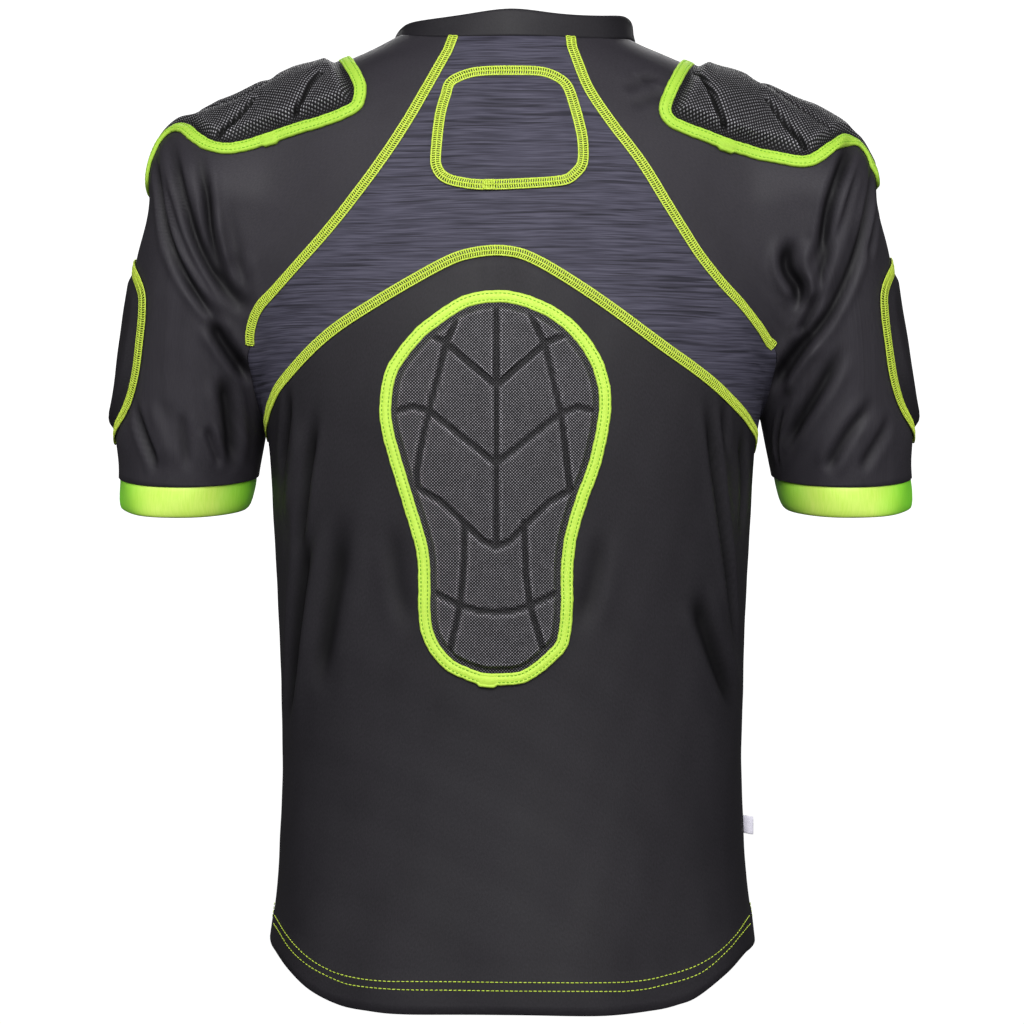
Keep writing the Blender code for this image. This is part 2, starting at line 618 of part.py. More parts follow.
def pad(name, outline, mid, lay, heights, colour, fade=None):
    """Padding in rings from its outline to a line along its middle. lay puts chart points on the form;
    heights are (share of the way in, height)."""
    m = len(outline)
    a, b = np.array(mid[0], float), np.array(mid[1], float)
    d = b - a
    t = np.clip(((outline - a) @ d) / (d @ d), 0, 1)
    target = a + t[:, None] * d
    top, bottom = [], []
    for share, high in heights:
        flat = outline + (target - outline) * share
        base = lay(flat)
        n = normal(base)
        if fade is not None:
            high = (PAD_EDGE_H + (high - PAD_EDGE_H) * fade(flat))[:, None]
        base = base + n * fold(base)[:, None]
        bottom.append(base + n * (LAY + 0.0016 * share))
        top.append(base + n * (LAY + high))
    k = len(heights)
    verts = np.vstack(top + bottom)
    off = k * m
    faces = []
    for r in range(k - 1):
        for j in range(m):
            q = (r * m + j, r * m + (j + 1) % m, (r + 1) * m + (j + 1) % m, (r + 1) * m + j)
            faces += split(q, verts, False)
            faces += split(tuple(off + i for i in reversed(q)), verts, False)
    for j in range(m):
        faces.append(((j + 1) % m, j, off + j, off + (j + 1) % m))
    # close the middle across the innermost ring, walking both sides from one end to the other
    reach = (outline - a) @ d
    s, e = int(np.argmin(reach)), int(np.argmax(reach))
    one = [(s + j) % m for j in range((e - s) % m + 1)]
    two = [(s - j) % m for j in range((s - e) % m + 1)]
    i = j = 0
    while i < len(one) - 1 or j < len(two) - 1:
        ahead = i < len(one) - 1 and (j == len(two) - 1 or reach[one[i + 1]] <= reach[two[j + 1]])
        f = (one[i], one[i + 1], two[j]) if ahead else (one[i], two[j + 1], two[j])
        i, j = (i + 1, j) if ahead else (i, j + 1)
        if len(set(f)) == 3:
            faces.append(tuple((k - 1) * m + q for q in f))
            faces.append(tuple(off + (k - 1) * m + q for q in reversed(f)))
    return make(name, verts, faces, colour)


def strip(name, line, colour, width=BIND_W, high=BIND_H):
    """Binding: a closed band laid along a line on the form."""
    t = np.roll(line, -1, 0) - np.roll(line, 1, 0)
    t /= np.linalg.norm(t, axis=1, keepdims=True)
    side = np.cross(normal(line), t)
    ring = []
    for off, h in ((-0.5, 0.0), (-0.42, 0.9), (0.42, 0.9), (0.5, 0.0)):
        base = settle(line + side * off * width, 3)
        ring.append(base + normal(base) * (LAY + h * high + fold(base))[:, None])
    g = np.array(ring)
    k, m = g.shape[:2]
    verts = g.reshape(-1, 3)
    faces = []
    for i in range(k):
        for j in range(m):
            a, b = i * m, ((i + 1) % k) * m
            faces += split((a + j, a + (j + 1) % m, b + (j + 1) % m, b + j), verts, False)
    return make(name, verts, faces, colour)


def inset(outline, by):
    """Move a closed chart outline in along its own normals."""
    t = np.roll(outline, -1, 0) - np.roll(outline, 1, 0)
    t /= np.linalg.norm(t, axis=1, keepdims=True)
    n = np.stack((-t[:, 1], t[:, 0]), -1)
    c = outline.mean(0)
    if ((c - outline) * n).sum() < 0:
        n = -n
    return outline + n * by


# ---------------------------------------------------------------- the shoulder line and what is measured from it
class ShoulderChart:
    """Distances along the shoulder line from the neck seam, and off it round the shoulder."""

    def __init__(self, side):
        mirror = np.array((side, 1.0, 1.0))
        hub = np.array((0.165, 0.0, -0.125))
        ang = np.radians(np.linspace(128, -62, 420))
        aim = np.stack((np.cos(ang), 0 * ang, np.sin(ang)), -1)
        lo, hi = np.full(len(ang), 0.01), np.full(len(ang), 0.26)
        r = np.linspace(0.01, 0.26, 251)
        vals = np.stack([form((hub + aim * q) * mirror) for q in r], -1)
        first = (vals > 0).argmax(-1)
        lo, hi = r[np.maximum(first - 1, 0)], r[first]
        for _ in range(16):
            mid = (lo + hi) / 2
            neg = form((hub + aim * mid[:, None]) * mirror) < 0
            lo, hi = np.where(neg, mid, lo), np.where(neg, hi, mid)
        line = (hub + aim * lo[:, None]) * mirror
        neck = ring_point(side * 90.0, NECK_Z(side * 90.0))
        start = int(np.argmin(np.linalg.norm(line - neck, axis=1)))
        line = line[start:]
        self.s = np.concatenate(([0], np.cumsum(np.linalg.norm(np.diff(line, axis=0), axis=1))))
        self.line, self.side = line, side

    def at(self, s):
        return np.stack([np.interp(s, self.s, self.line[:, k]) for k in range(3)], -1)

    def lay(self, sw):
        s, w = sw[..., 0] * 0.001, sw[..., 1] * 0.001
        p = self.at(s)
        t = self.at(s + 0.004) - self.at(s - 0.004)
        t /= np.linalg.norm(t, axis=-1, keepdims=True)
        steps = 24
        for _ in range(steps):
            d = np.cross(normal(p), t) * self.side          # round to the front
            d /= np.linalg.norm(d, axis=-1, keepdims=True)
            p = settle(p + d * (w / steps)[..., None], 1)
        return p


def arm_lay(side):
    def lay(c):
        return settle(arm_point(side, c[..., 0], c[..., 1]), 4)
    return lay


def sleeve_pad_outline(count):
    top, foot, back, front = SLEEVE_PAD_SIZE
    a = np.linspace(0, 2 * math.pi, count, endpoint=False)
    c, s = np.cos(a), np.sin(a)
    share = (top + foot) / 2 + (foot - top) / 2 * np.sign(c) * np.abs(c) ** 0.8
    deg = np.where(s < 0, back, front) * np.sign(s) * np.abs(s) ** 0.75
    return np.stack((share, deg), -1)


# ---------------------------------------------------------------- build
def main():
    for obj in list(bpy.data.objects):
        bpy.data.objects.remove(obj)
    s = seam_lines()

    left = np.vstack((s["backL"], s["bitL"][1:]))
    right = np.vstack((s["backR"], s["bitR"][1:]))
    panel("back_yoke", relax(coons(s["neck_back"], s["arch"], left, right)), False, "slate")
    panel("back_lower", relax(coons(s["arch"], s["hem_back"], s["sideL"], s["sideR"])), False, "black")
    left = np.vstack((s["frontL"], s["bitL"][1:], s["sideL"][1:]))
    right = np.vstack((s["frontR"], s["bitR"][1:], s["sideR"][1:]))
    panel("front", relax(coons(s["neck_front"], s["hem_front"], left, right), times=300), False, "black")

    for side, word in ((-1, "left"), (1, "right")):
        panel("sleeve_" + word, sleeve_grid(s, side), True, "black")
        ang = sleeve_angles()
        n = len(ang)
        rows_out, rows_in = [], []
        for k, down in enumerate((GAP, CUFF_H * 0.5, CUFF_H)):
            arm = ARMS[side]
            ring = arm_point(side, np.ones(n) + down / arm.length, ang, True)
            axis = (_top + (arm.length + down) * arm.down) * np.array((side, 1, 1))
            out = ring - axis
            out = out / np.linalg.norm(out, axis=1, keepdims=True)
            pull = (0.0006, 0.0012, 0.0030)[k]
            rows_out.append(ring - out * pull)
            rows_in.append(ring - out * (pull + WALL))
        shell("cuff_" + word, np.array(rows_out), np.array(rows_in), True, "lime")

    # neck band, stood up from the neck seam and leaning in a little
    loop = np.vstack((s["neck_back"][:-1], s["neckR"][:-1], s["neck_front"][::-1][:-1], s["neckL"][::-1][:-1]))
    mid = np.array((0.0, loop[:, 1].mean(), 0.0))
    flat = (loop - mid) * np.array((1, 1, 0))
    flat /= np.linalg.norm(flat, axis=1, keepdims=True)
    tall = np.interp(np.degrees(np.arctan2(loop[:, 0], -loop[:, 1])), [r[0] for r in COLLAR], [r[1] * 0.001 for r in COLLAR])
    outer, inner = [], []
    for rise, lean in ((0.0, 0.0), (0.5, 0.0022), (1.0, 0.0030)):
        up = (GAP + rise * tall)[:, None] * np.array((0, 0, 1.0))
        outer.append(loop + up - flat * lean)
        inner.append(loop + up - flat * (lean + WALL))
    shell("collar", np.array(outer), np.array(inner), True, "black")

    # padding and bindings
    rise = ((0.0, 0.0), (0.15, 0.76), (0.36, 0.94), (0.60, 1.0), (0.86, 1.0))
    high = lambda top: [(f, PAD_EDGE_H + (top - PAD_EDGE_H) * h) for f, h in rise]
    thin = lambda top: [(f, 0.0012 + (top - 0.0012) * h) for f, h in rise[::2] + rise[-1:]]
    line = even(curve(BACK_PAD, 400, True), 48, True)
    pad("back_pad", inset(line, (BIND_W / 2 + GAP) / PX * 1.08), BACK_PAD_MID, from_view, high(BACK_PAD_H), "mesh")
    strip("back_binding", from_view(line), "lime")
    line = even(curve(YOKE_PAD, 300, True), 28, True)
    pad("yoke_pad", line, YOKE_PAD_MID, from_view, thin(YOKE_PAD_H), "slate")
    for side, word in ((-1, "left"), (1, "right")):
        chart = ShoulderChart(side)
        line = even(curve(SHOULDER_PAD_BACK[side] + SHOULDER_PAD_TIP[side] + SHOULDER_PAD_FRONT, 500, True), 64, True)
        pad("shoulder_pad_" + word, inset(line, (BIND_W / 2 + GAP) * 1000 * 1.4), SHOULDER_PAD_MID[side], chart.lay,
            high(SHOULDER_PAD_H), "mesh", lambda c: np.interp(c[:, 0], *SHOULDER_PAD_FADE))
        strip("shoulder_binding_" + word, chart.lay(line), "lime")
        line = sleeve_pad_outline(28)
        pad("sleeve_pad_" + word, line, ((0.42, 0.0), (0.70, 0.0)), arm_lay(side), thin(SLEEVE_PAD_H), "black")

    # blank tab in the right side seam
    root = settle(np.array((0.166, 0.0, LABEL_Z)))
    w, h, t = LABEL_SIZE
    x0 = root[0] + LAY
    verts = [(x0 + dx * w, (dy - 0.5) * t, LABEL_Z + (dz - 0.5) * h - dx * 0.0015) for dx in (0, 1) for dy in (0, 1) for dz in (0, 1)]
    faces = [(0, 1, 3, 2), (4, 6, 7, 5), (0, 4, 5, 1), (2, 3, 7, 6), (0, 2, 6, 4), (1, 5, 7, 3)]
    make("side_label", verts, faces, "white")


main()
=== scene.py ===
"""Looks of the padded rugby top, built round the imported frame.

The same form as the CAD (body rings joined to two sleeve tubes) carries every piece here at a finer
step, with the folds, the quilted pads, the bindings, the seams' thread and the cloth materials.
"""
import json
import math

import bpy
import numpy as np
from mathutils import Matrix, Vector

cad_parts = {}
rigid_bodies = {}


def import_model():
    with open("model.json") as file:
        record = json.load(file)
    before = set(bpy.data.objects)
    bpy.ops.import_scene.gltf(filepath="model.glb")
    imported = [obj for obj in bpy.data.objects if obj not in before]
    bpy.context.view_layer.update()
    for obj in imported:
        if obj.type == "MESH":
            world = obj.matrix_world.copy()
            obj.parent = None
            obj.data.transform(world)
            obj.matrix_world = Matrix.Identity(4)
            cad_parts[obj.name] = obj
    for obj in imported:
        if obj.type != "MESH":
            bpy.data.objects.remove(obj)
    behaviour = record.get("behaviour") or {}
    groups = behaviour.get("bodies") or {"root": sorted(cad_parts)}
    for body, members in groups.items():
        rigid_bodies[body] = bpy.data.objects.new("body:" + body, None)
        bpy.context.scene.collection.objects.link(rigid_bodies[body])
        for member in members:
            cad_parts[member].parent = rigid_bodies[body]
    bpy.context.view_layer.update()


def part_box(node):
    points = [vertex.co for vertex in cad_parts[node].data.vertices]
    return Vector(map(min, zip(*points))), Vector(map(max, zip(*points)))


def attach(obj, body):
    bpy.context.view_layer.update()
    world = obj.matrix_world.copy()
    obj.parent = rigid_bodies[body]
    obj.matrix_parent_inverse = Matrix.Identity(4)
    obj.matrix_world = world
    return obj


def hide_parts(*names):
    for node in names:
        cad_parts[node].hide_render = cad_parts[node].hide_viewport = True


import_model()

# ---------------------------------------------------------------- named sizes (metres)
PX = 0.00072            # one step of the back-view drawing, on the plane Y = 0
MID_U = 512.0           # drawing column of X = 0
NECK_V = 40.0           # drawing row of Z = 0
EYE_V = 512.0           # drawing row level with the viewer
VIEW = 2.6              # distance the back view is drawn from
WALL = 0.0013           # cloth
GAP = 0.0003            # between pieces at seams
LAY = 0.0008            # what lies on a panel starts this far out from the form
BIND_W = 0.0090         # binding width
BIND_H = 0.0032         # binding height
CUFF_H = 0.0225         # cuff band height
BACK_PAD_H = 0.0090     # moulded back pad, at its middle
SHOULDER_PAD_H = 0.0105
YOKE_PAD_H = 0.0032
SLEEVE_PAD_H = 0.0068
PAD_EDGE_H = 0.0026     # pad height where it meets its binding or seam

# body rings, mm: height, half width, back depth, front depth, power of the outline
BODY = (
    (45, 64, 50, 46, 1.95),
    (0, 85, 60, 58, 1.9),
    (-15, 118, 66, 65, 1.85),
    (-30, 153, 72, 71, 1.85),
    (-45, 186, 78, 77, 1.85),
    (-57, 205, 82, 81, 1.88),
    (-70, 211, 87, 86, 1.92),
    (-85, 206, 92, 91, 2.0),
    (-105, 196, 98, 97, 2.1),
    (-130, 190, 104, 103, 2.2),
    (-165, 189, 110, 109, 2.3),
    (-205, 189, 114.5, 113.5, 2.35),
    (-243, 184, 116.5, 116, 2.35),
    (-281, 176.5, 117, 117, 2.35),
    (-353, 171, 113, 114, 2.35),
    (-403, 168, 109, 111, 2.35),
    (-461, 166, 106.5, 108, 2.35),
    (-519, 165, 106.5, 108, 2.35),
    (-569, 166.5, 109, 110, 2.35),
    (-605, 169, 112, 112, 2.35),
    (-644, 174, 116, 115, 2.35),
    (-720, 182, 121, 119, 2.35),
)
# sleeve tube, mm: shoulder end and cuff seam end of its axis (left is the mirror)
ARM_TOP = (0.211, 0.000, -0.112)
ARM_END = {-1: (0.2355, 0.030, -0.3135), 1: (0.2400, 0.030, -0.3135)}
ARM_CAP = 0.050         # rounding over the shoulder
# share of the way down, half width, half depth
ARM = (
    (-0.4, 53, 62),
    (0.0, 53, 62),
    (0.18, 54.3, 62),
    (0.45, 54.6, 61),
    (0.70, 53.4, 60),
    (0.85, 52.2, 59),
    (1.0, 50.6, 58),
    (1.3, 48.5, 57),
)
# soft join of sleeve and body, mm: height, blend
JOIN = ((-340, 3), (-290, 4), (-268, 8), (-235, 22), (-185, 42), (-130, 50), (-90, 44), (-60, 28), (40, 20))

# neck seam: degrees round from the middle of the back, height in mm
NECK = ((-210, -56), (-180, -72), (-150, -56), (-120, -20), (-90, 0.5), (-60, -2), (-30, -5), (0, -5), (30, -5), (60, -4),
        (90, -2), (120, -20), (150, -56), (180, -72), (210, -56))
# neck band: degrees round, height in mm (it sits lower on the left)
COLLAR = ((-180, 15), (-150, 12.5), (-120, 9), (-90, 6), (-60, 10.5), (-30, 15.5), (0, 18.7), (30, 16), (60, 15.5), (90, 15.5), (120, 14.5), (180, 15))
NECK_SEAM_BACK = 37.0   # degrees, where the raglan seams meet the neck
NECK_SEAM_FRONT = 138.0

# seams on the back view: drawing column, drawing row
RAGLAN_LEFT = ((456, 37), (430, 82), (405, 125), (373, 172), (340, 215), (308, 253), (278, 287), (258, 310), (251, 331), (251, 346))
RAGLAN_RIGHT = ((568, 37), (578, 63), (590, 91), (613, 125), (642, 163), (668, 205), (695, 248), (717, 277), (741, 304), (758, 326), (768, 342))
ARCH = ((267, 419), (271, 404), (284, 380), (326, 336), (379, 300), (441, 264.5), (473, 253), (507, 251), (538, 261),
        (594, 295.5), (659, 343), (708, 379), (741, 411), (753, 428))
HEM = ((272, 948), (289, 969.5), (311, 990), (338, 1004), (366, 1010), (408, 1014), (512, 1014.5), (600, 1015.5),
       (655, 1010), (680, 1004), (698, 996), (726, 972), (746, 951))
ARCH_END_Z = {-1: -0.286, 1: -0.294}
HEM_SIDE_Z = -0.6455
UNDERARM = (0.1785, 0.010)      # across and forward of the underarm point
# front raglan seam, mm: across, height
RAGLAN_FRONT = ((90, -88), (124, -132), (152, -176), (171, -212), (178, -236))

# pad outlines on the back view (middle of the binding or seam): column, row
BACK_PAD = ((496, 297), (466, 302), (437, 320), (416, 338), (393.5, 369), (386.8, 399), (387.4, 423), (394, 452),
            (408, 499), (422, 546), (425, 576), (425.6, 618), (432.5, 643), (450, 664.5), (476, 676.5), (494, 679),
            (526, 675), (558, 648.5), (564.8, 627), (566.6, 600), (566.6, 569), (570.8, 535), (581.8, 498),
            (593.4, 466), (601.3, 432), (604.4, 407), (602.7, 384), (593.8, 358), (575.8, 332.5), (551.7, 313), (521.5, 300.3))
YOKE_PAD = ((452, 82), (476, 72.7), (514, 71.3), (542, 72.8), (560, 80), (569.5, 92), (580.3, 129), (583, 149),
            (581.8, 164.5), (575, 173.3), (559, 181.3), (489, 185.2), (459, 182.3), (444, 177), (438.4, 170),
            (435.8, 162), (437.3, 140), (440.6, 115), (446.5, 94))
BACK_PAD_MID = ((496.7, 385), (496.7, 628))
YOKE_PAD_MID = ((478, 128), (541, 128))
# shoulder pad outline: mm along the shoulder from the neck seam, mm off the shoulder line (back is negative)
SHOULDER_PAD_BACK = {
    -1: ((39, -35), (38, -66), (45, -81), (56, -83), (74, -80), (98, -72), (120, -65), (140, -62), (152, -55), (160, -42),
         (166, -22), (174, -11), (187, -8), (201, -8), (212, -5)),
    1: ((38, -40), (37, -80), (43, -91), (56, -92), (84, -86), (120, -74), (138, -72), (150, -66), (160, -48),
        (168, -26), (177, -17), (185, -15), (195, -14), (204, -9)),
}
SHOULDER_PAD_TIP = {
    -1: ((218, 8), (219, 24), (213, 38), (199, 44), (183, 46)),
    1: ((206, 7), (207, 22), (202, 36), (192, 43), (181, 46)),
}
SHOULDER_PAD_FRONT = ((168, 54), (152, 64), (134, 72), (110, 76), (80, 78), (58, 76), (46, 66), (42, 40), (41, 0))
SHOULDER_PAD_FADE = ((135, 185), (1.0, 0.22))     # mm along, share of the full height: it thins over the outer shoulder
SHOULDER_PAD_MID = {-1: ((66, -4), (197, 14)), 1: ((66, -4), (190, 13))}
# sleeve pad outline: share of the way down the sleeve, degrees round from the outer edge (back is negative)
SLEEVE_PAD_SIZE = (0.265, 0.875, 36.0, 38.0)    # top, foot, reach to the back, reach to the front
LABEL_SIZE = (0.0068, 0.0125, 0.0008)           # stands out, height, thickness
LABEL_Z = -0.5635

# grid counts
N_RAGLAN, N_SIDE_BIT, N_SIDE, N_ARCH, N_NECK_ARM, N_SLEEVE = 14, 2, 8, 18, 10, 16

SLEEVE_BACK, SLEEVE_OPEN = 138.0, 0.62   # degrees of cuff under each raglan seam, and how fast the columns open


FOLD_FULL, FOLD_WIDE = 2.00, 0.90      # shares of the listed depth and width
# folds, each a soft trough (depth below 0) or ridge: width mm, depth mm, line on the back view (column, row)
FOLDS_BACK = (
    # left sleeve, from the shoulder pad to the underarm
    (3.6, -3.2, (157, 146), (158, 172), (160, 202), (166, 236), (184, 276), (207, 308), (222, 326)),
    (2.8, -1.7, (163, 150), (172, 212), (186, 250), (204, 283), (222, 310)),
    (3.8, -3.8, (174, 134), (178, 166), (184, 201), (194, 236), (206, 264), (224, 292), (238, 316)),
    (2.8, -1.5, (187, 150), (195, 208), (204, 243), (215, 270)),
    (3.9, -3.6, (198, 142), (203, 172), (207, 201), (211, 236), (219, 267), (232, 291), (245, 318)),
    (5.5, 1.6, (214, 200), (220, 240), (230, 274), (242, 302)),
    (6.5, -1.4, (230, 250), (238, 285), (248, 318)),
    (5.0, -3.2, (208, 316), (222, 340), (237, 362), (252, 386)),
    (6.5, -2.6, (222, 372), (230, 420), (234, 476)),
    (3.2, -1.5, (206, 424), (213, 446), (221, 470)),
    (3.4, -2.6, (133, 400), (142, 430), (150, 452), (158, 472)),
    (6.0, 1.2, (150, 400), (160, 432), (172, 468)),
    (4.0, -1.0, (180, 410), (185, 440), (188, 474)),
    # right sleeve
    (4.6, -4.2, (852, 138), (846, 158), (837, 183), (829, 210), (824, 245), (818, 276)),
    (2.8, -1.7, (858, 146), (851, 190), (842, 222), (826, 263), (810, 300)),
    (4.0, -3.4, (871, 150), (869, 208), (855, 262), (834, 306), (812, 338)),
    (2.8, -1.7, (862, 206), (848, 256), (828, 298), (806, 330)),
    (3.4, -1.8, (881, 196), (874, 232), (866, 262)),
    (5.0, -3.8, (793, 236), (785, 261), (791, 278), (800, 291), (795, 314)),
    (4.2, 2.0, (808, 236), (805, 262), (813, 284), (809, 308)),
    (3.2, -2.6, (823, 286), (809, 316), (795, 338)),
    (5.0, -3.0, (838, 304), (808, 338), (786, 366), (772, 394)),
    (5.0, 1.6, (822, 338), (802, 370), (786, 398)),
    (5.5, -2.6, (846, 342), (822, 386), (798, 422), (784, 450)),
    (4.5, -2.0, (878, 396), (853, 427), (835, 455), (825, 474)),
    (4.0, -1.8, (893, 416), (876, 445), (858, 474)),
    (2.5, -1.2, (784, 404), (776, 440), (778, 468)),
    # body
    (3.5, -3.4, (290, 390), (285, 436), (279, 476)),
    (4.0, -3.6, (319, 410), (307, 465), (303, 511), (293, 562)),
    (6.0, 2.0, (300, 420), (293, 470), (288, 530)),
    (7.0, -3.2, (308, 520), (296, 620), (285, 737)),
    (9.0, -2.4, (347, 512), (330, 610), (316, 695)),
    (3.8, -4.0, (704, 390), (712, 438), (717, 476), (724, 532), (732, 600), (738, 660)),
    (3.0, -2.2, (723, 404), (725, 430), (727, 452)),
    (5.0, -2.8, (741, 432), (744, 484), (741, 540)),
    (8.0, -3.2, (694, 590), (714, 650), (737, 716)),
    (7.0, -1.2, (601, 530), (594, 582), (577, 632)),
    (7.0, -1.0, (392, 520), (398, 580), (410, 632)),
    (2.6, -0.7, (482, 258), (481, 272), (479, 288)),
    (2.6, -0.7, (497, 257), (497, 270), (497, 288)),
    (2.8, -0.7, (515, 257), (515, 270), (516, 290)),
    (4.0, -1.2, (624, 92), (640, 82), (660, 74)),
    (4.0, -1.0, (630, 108), (650, 98), (672, 92)),
    (2.0, -1.8, (750, 352), (759, 356), (768, 357)),
    (2.0, -1.5, (757, 371), (765, 366), (773, 362)),
)
# shoulder cap corners and the cloth under the sleeve pads' feet: across, height, reach, rise
CAPS = {-1: ((0.243, -0.064, 0.026, 0.0072), (0.272, -0.122, 0.026, -0.0056), (0.286, -0.283, 0.018, 0.0045)),
        1: ((0.241, -0.062, 0.024, 0.0026), (0.270, -0.122, 0.024, -0.0030), (0.289, -0.283, 0.018, 0.0036))}
# the same on the hidden front: width mm, depth mm, line as across mm, height mm
FOLDS_FRONT = (
    (4.5, -3.0, (-250, -118), (-238, -150), (-222, -188), (-202, -222)),
    (3.6, -2.4, (-236, -112), (-222, -150), (-206, -186), (-192, -212)),
    (3.0, -1.6, (-262, -128), (-252, -166), (-236, -204)),
    (6.0, -2.6, (-264, -205), (-242, -252), (-222, -300)),
    (4.5, -1.8, (-276, -236), (-262, -272), (-246, -306)),
    (4.5, -2.8, (246, -112), (230, -146), (216, -184), (198, -216)),
    (3.6, -2.2, (230, -108), (214, -148), (202, -184), (192, -208)),
    (3.0, -1.6, (262, -126), (250, -166), (232, -206)),
    (6.0, -2.4, (262, -198), (244, -250), (218, -298)),
    (4.5, -1.8, (278, -240), (268, -276), (252, -308)),
    (6.0, -2.4, (-166, -262), (-142, -292), (-122, -340)),
    (4.5, -1.6, (-168, -284), (-152, -322), (-144, -372)),
    (9.0, -2.0, (-150, -380), (-142, -450), (-152, -540)),
    (6.0, -2.4, (164, -260), (140, -300), (128, -346)),
    (4.5, -1.6, (166, -290), (154, -330), (150, -380)),
    (9.0, -2.2, (148, -400), (150, -470), (138, -556)),
    (10.0, -1.2, (-60, -480), (-66, -560), (-58, -640)),
    (10.0, -1.2, (54, -460), (62, -560), (70, -640)),
    (6.0, -1.4, (-64, -96), (-84, -122), (-110, -140)),
    (6.0, -1.4, (66, -98), (88, -126), (112, -142)),
)



# ---------------------------------------------------------------- the form
def spline(xs, ys):
    """Natural cubic through a short table, kept as a fine lookup."""
    xs, ys = np.array(xs, float), np.array(ys, float)
    order = np.argsort(xs)
    xs, ys = xs[order], ys[order]
    n = len(xs)
    h = np.diff(xs)
    a = np.eye(n)
    r = np.zeros(n)
    for i in range(1, n - 1):
        a[i, i - 1], a[i, i], a[i, i + 1] = h[i - 1], 2 * (h[i - 1] + h[i]), h[i]
        r[i] = 6 * ((ys[i + 1] - ys[i]) / h[i] - (ys[i] - ys[i - 1]) / h[i - 1])
    m = np.linalg.solve(a, r)
    fine = np.linspace(xs[0], xs[-1], 3000)
    k = np.clip(np.searchsorted(xs, fine) - 1, 0, n - 2)
    t = fine - xs[k]
    b = (ys[k + 1] - ys[k]) / h[k] - h[k] * (2 * m[k] + m[k + 1]) / 6
    val = ys[k] + b * t + m[k] * t * t / 2 + (m[k + 1] - m[k]) * t ** 3 / (6 * h[k])
    return lambda q: np.interp(q, fine, val)


def table(rows, column, scale=(0.001, 0.001)):
    return spline([r[0] * scale[0] for r in rows], [r[column] * scale[1] for r in rows])


BODY_W, BODY_B, BODY_F = (table(BODY, c) for c in (1, 2, 3))
BODY_P = table(BODY, 4, (0.001, 1))
ARM_W, ARM_D = table(ARM, 1, (1, 0.001)), table(ARM, 2, (1, 0.001))
JOIN_K = table(JOIN, 1)
NECK_Z = table(NECK, 1, (1, 0.001))
_top = np.array(ARM_TOP)


class Arm:
    """Axes of one sleeve tube, drawn on the right: down, out from the body, and to the front."""

    def __init__(self, end):
        run = np.array(end) - _top
        self.length = float(np.linalg.norm(run))
        self.down = run / self.length
        out = np.array((1.0, 0, 0)) - self.down * self.down[0]
        self.out = out / np.linalg.norm(out)
        fore = np.cross(self.out, self.down)
        self.fore = fore if fore[1] > 0 else -fore
        self.tip = self.down[0] / -self.down[2]     # keeps the cuff level from side to side


ARMS = {side: Arm(end) for side, end in ARM_END.items()}


def body_and_arm(p):
    """Signed distance, near enough, to the body and to the sleeve tube."""
    x, y, z = np.abs(p[..., 0]), p[..., 1], p[..., 2]
    w = BODY_W(z)
    d = np.where(y < 0, BODY_B(z), BODY_F(z))
    n = BODY_P(z)
    r = np.sqrt(x * x + y * y) + 1e-9
    rho = ((x / w) ** n + (np.abs(y) / d) ** n) ** (1 / n) + 1e-9
    body = r * (1 - 1 / rho)
    q = np.stack((x, y, z), -1) - _top
    left = p[..., 0] < 0
    pick = lambda name: np.where(left, q @ getattr(ARMS[-1], name), q @ getattr(ARMS[1], name))
    along, a, b = pick("down"), pick("out"), pick("fore")
    t = along / np.where(left, ARMS[-1].length, ARMS[1].length)
    cap = np.minimum(along, 0) / ARM_CAP
    rq = np.sqrt(a * a + b * b + np.minimum(along, 0) ** 2) + 1e-9
    rs = np.sqrt((a / ARM_W(t)) ** 2 + (b / ARM_D(t)) ** 2 + cap * cap) + 1e-9
    return body, rq * (1 - 1 / rs)


def form(p):
    """Signed distance, near enough, to the outside of the cloth."""
    body, arm = body_and_arm(p)
    k = JOIN_K(p[..., 2])
    h = np.maximum(k - np.abs(body - arm), 0) / k
    return np.minimum(body, arm) - h * h * k / 4


_TETRA = np.array(((1, 1, 1), (1, -1, -1), (-1, 1, -1), (-1, -1, 1)), float)


def slope(p, e=0.0006):
    return sum(form(p + e * s)[..., None] * s for s in _TETRA) / (4 * e)


def normal(p):
    g = slope(p)
    return g / np.linalg.norm(g, axis=-1, keepdims=True)


def settle(p, times=5):
    """Move points on to the form."""
    p = np.array(p, float)
    for _ in range(times):
        g = slope(p)
        g2 = np.maximum((g * g).sum(-1, keepdims=True), 0.15)
        step = form(p)[..., None] * g / g2
        size = np.linalg.norm(step, axis=-1, keepdims=True)
        p = p - step * np.minimum(1, 0.02 / np.maximum(size, 1e-9))
    return p


def to_crease(p, share):
    """Move points on the form towards the line where sleeve and body meet under the arm."""
    e = 0.0006
    for _ in range(8):
        gap = lambda q: np.subtract(*body_and_arm(q))
        g = sum(gap(p + e * s)[..., None] * s for s in _TETRA) / (4 * e)
        p = settle(p - (share * gap(p) / np.maximum((g * g).sum(-1), 0.2))[..., None] * g * 0.7, 2)
    return p


def from_view(uv):
    """Lay points of the back-view drawing on the back of the form."""
    uv = np.asarray(uv, float)
    x = (uv[..., 0] - MID_U) * PX
    eye = (NECK_V - EYE_V) * PX
    z = (EYE_V - uv[..., 1]) * PX
    ys = np.linspace(-0.17, 0.06, 116)

    def at(y):
        f = (VIEW + y) / VIEW
        return np.stack((x * f, y + 0 * x, eye + z * f), -1)
    vals = np.stack([form(at(y)) for y in ys], -1)
    inside = vals < 0
    first = np.where(inside.any(-1), inside.argmax(-1), vals.argmin(-1))
    first = np.maximum(first, 1)
    lo, hi = ys[first - 1], ys[first]
    for _ in range(14):
        mid = (lo + hi) / 2
        neg = form(at(mid)) < 0
        hi, lo = np.where(neg, mid, hi), np.where(neg, lo, mid)
    return settle(at((lo + hi) / 2), 3)


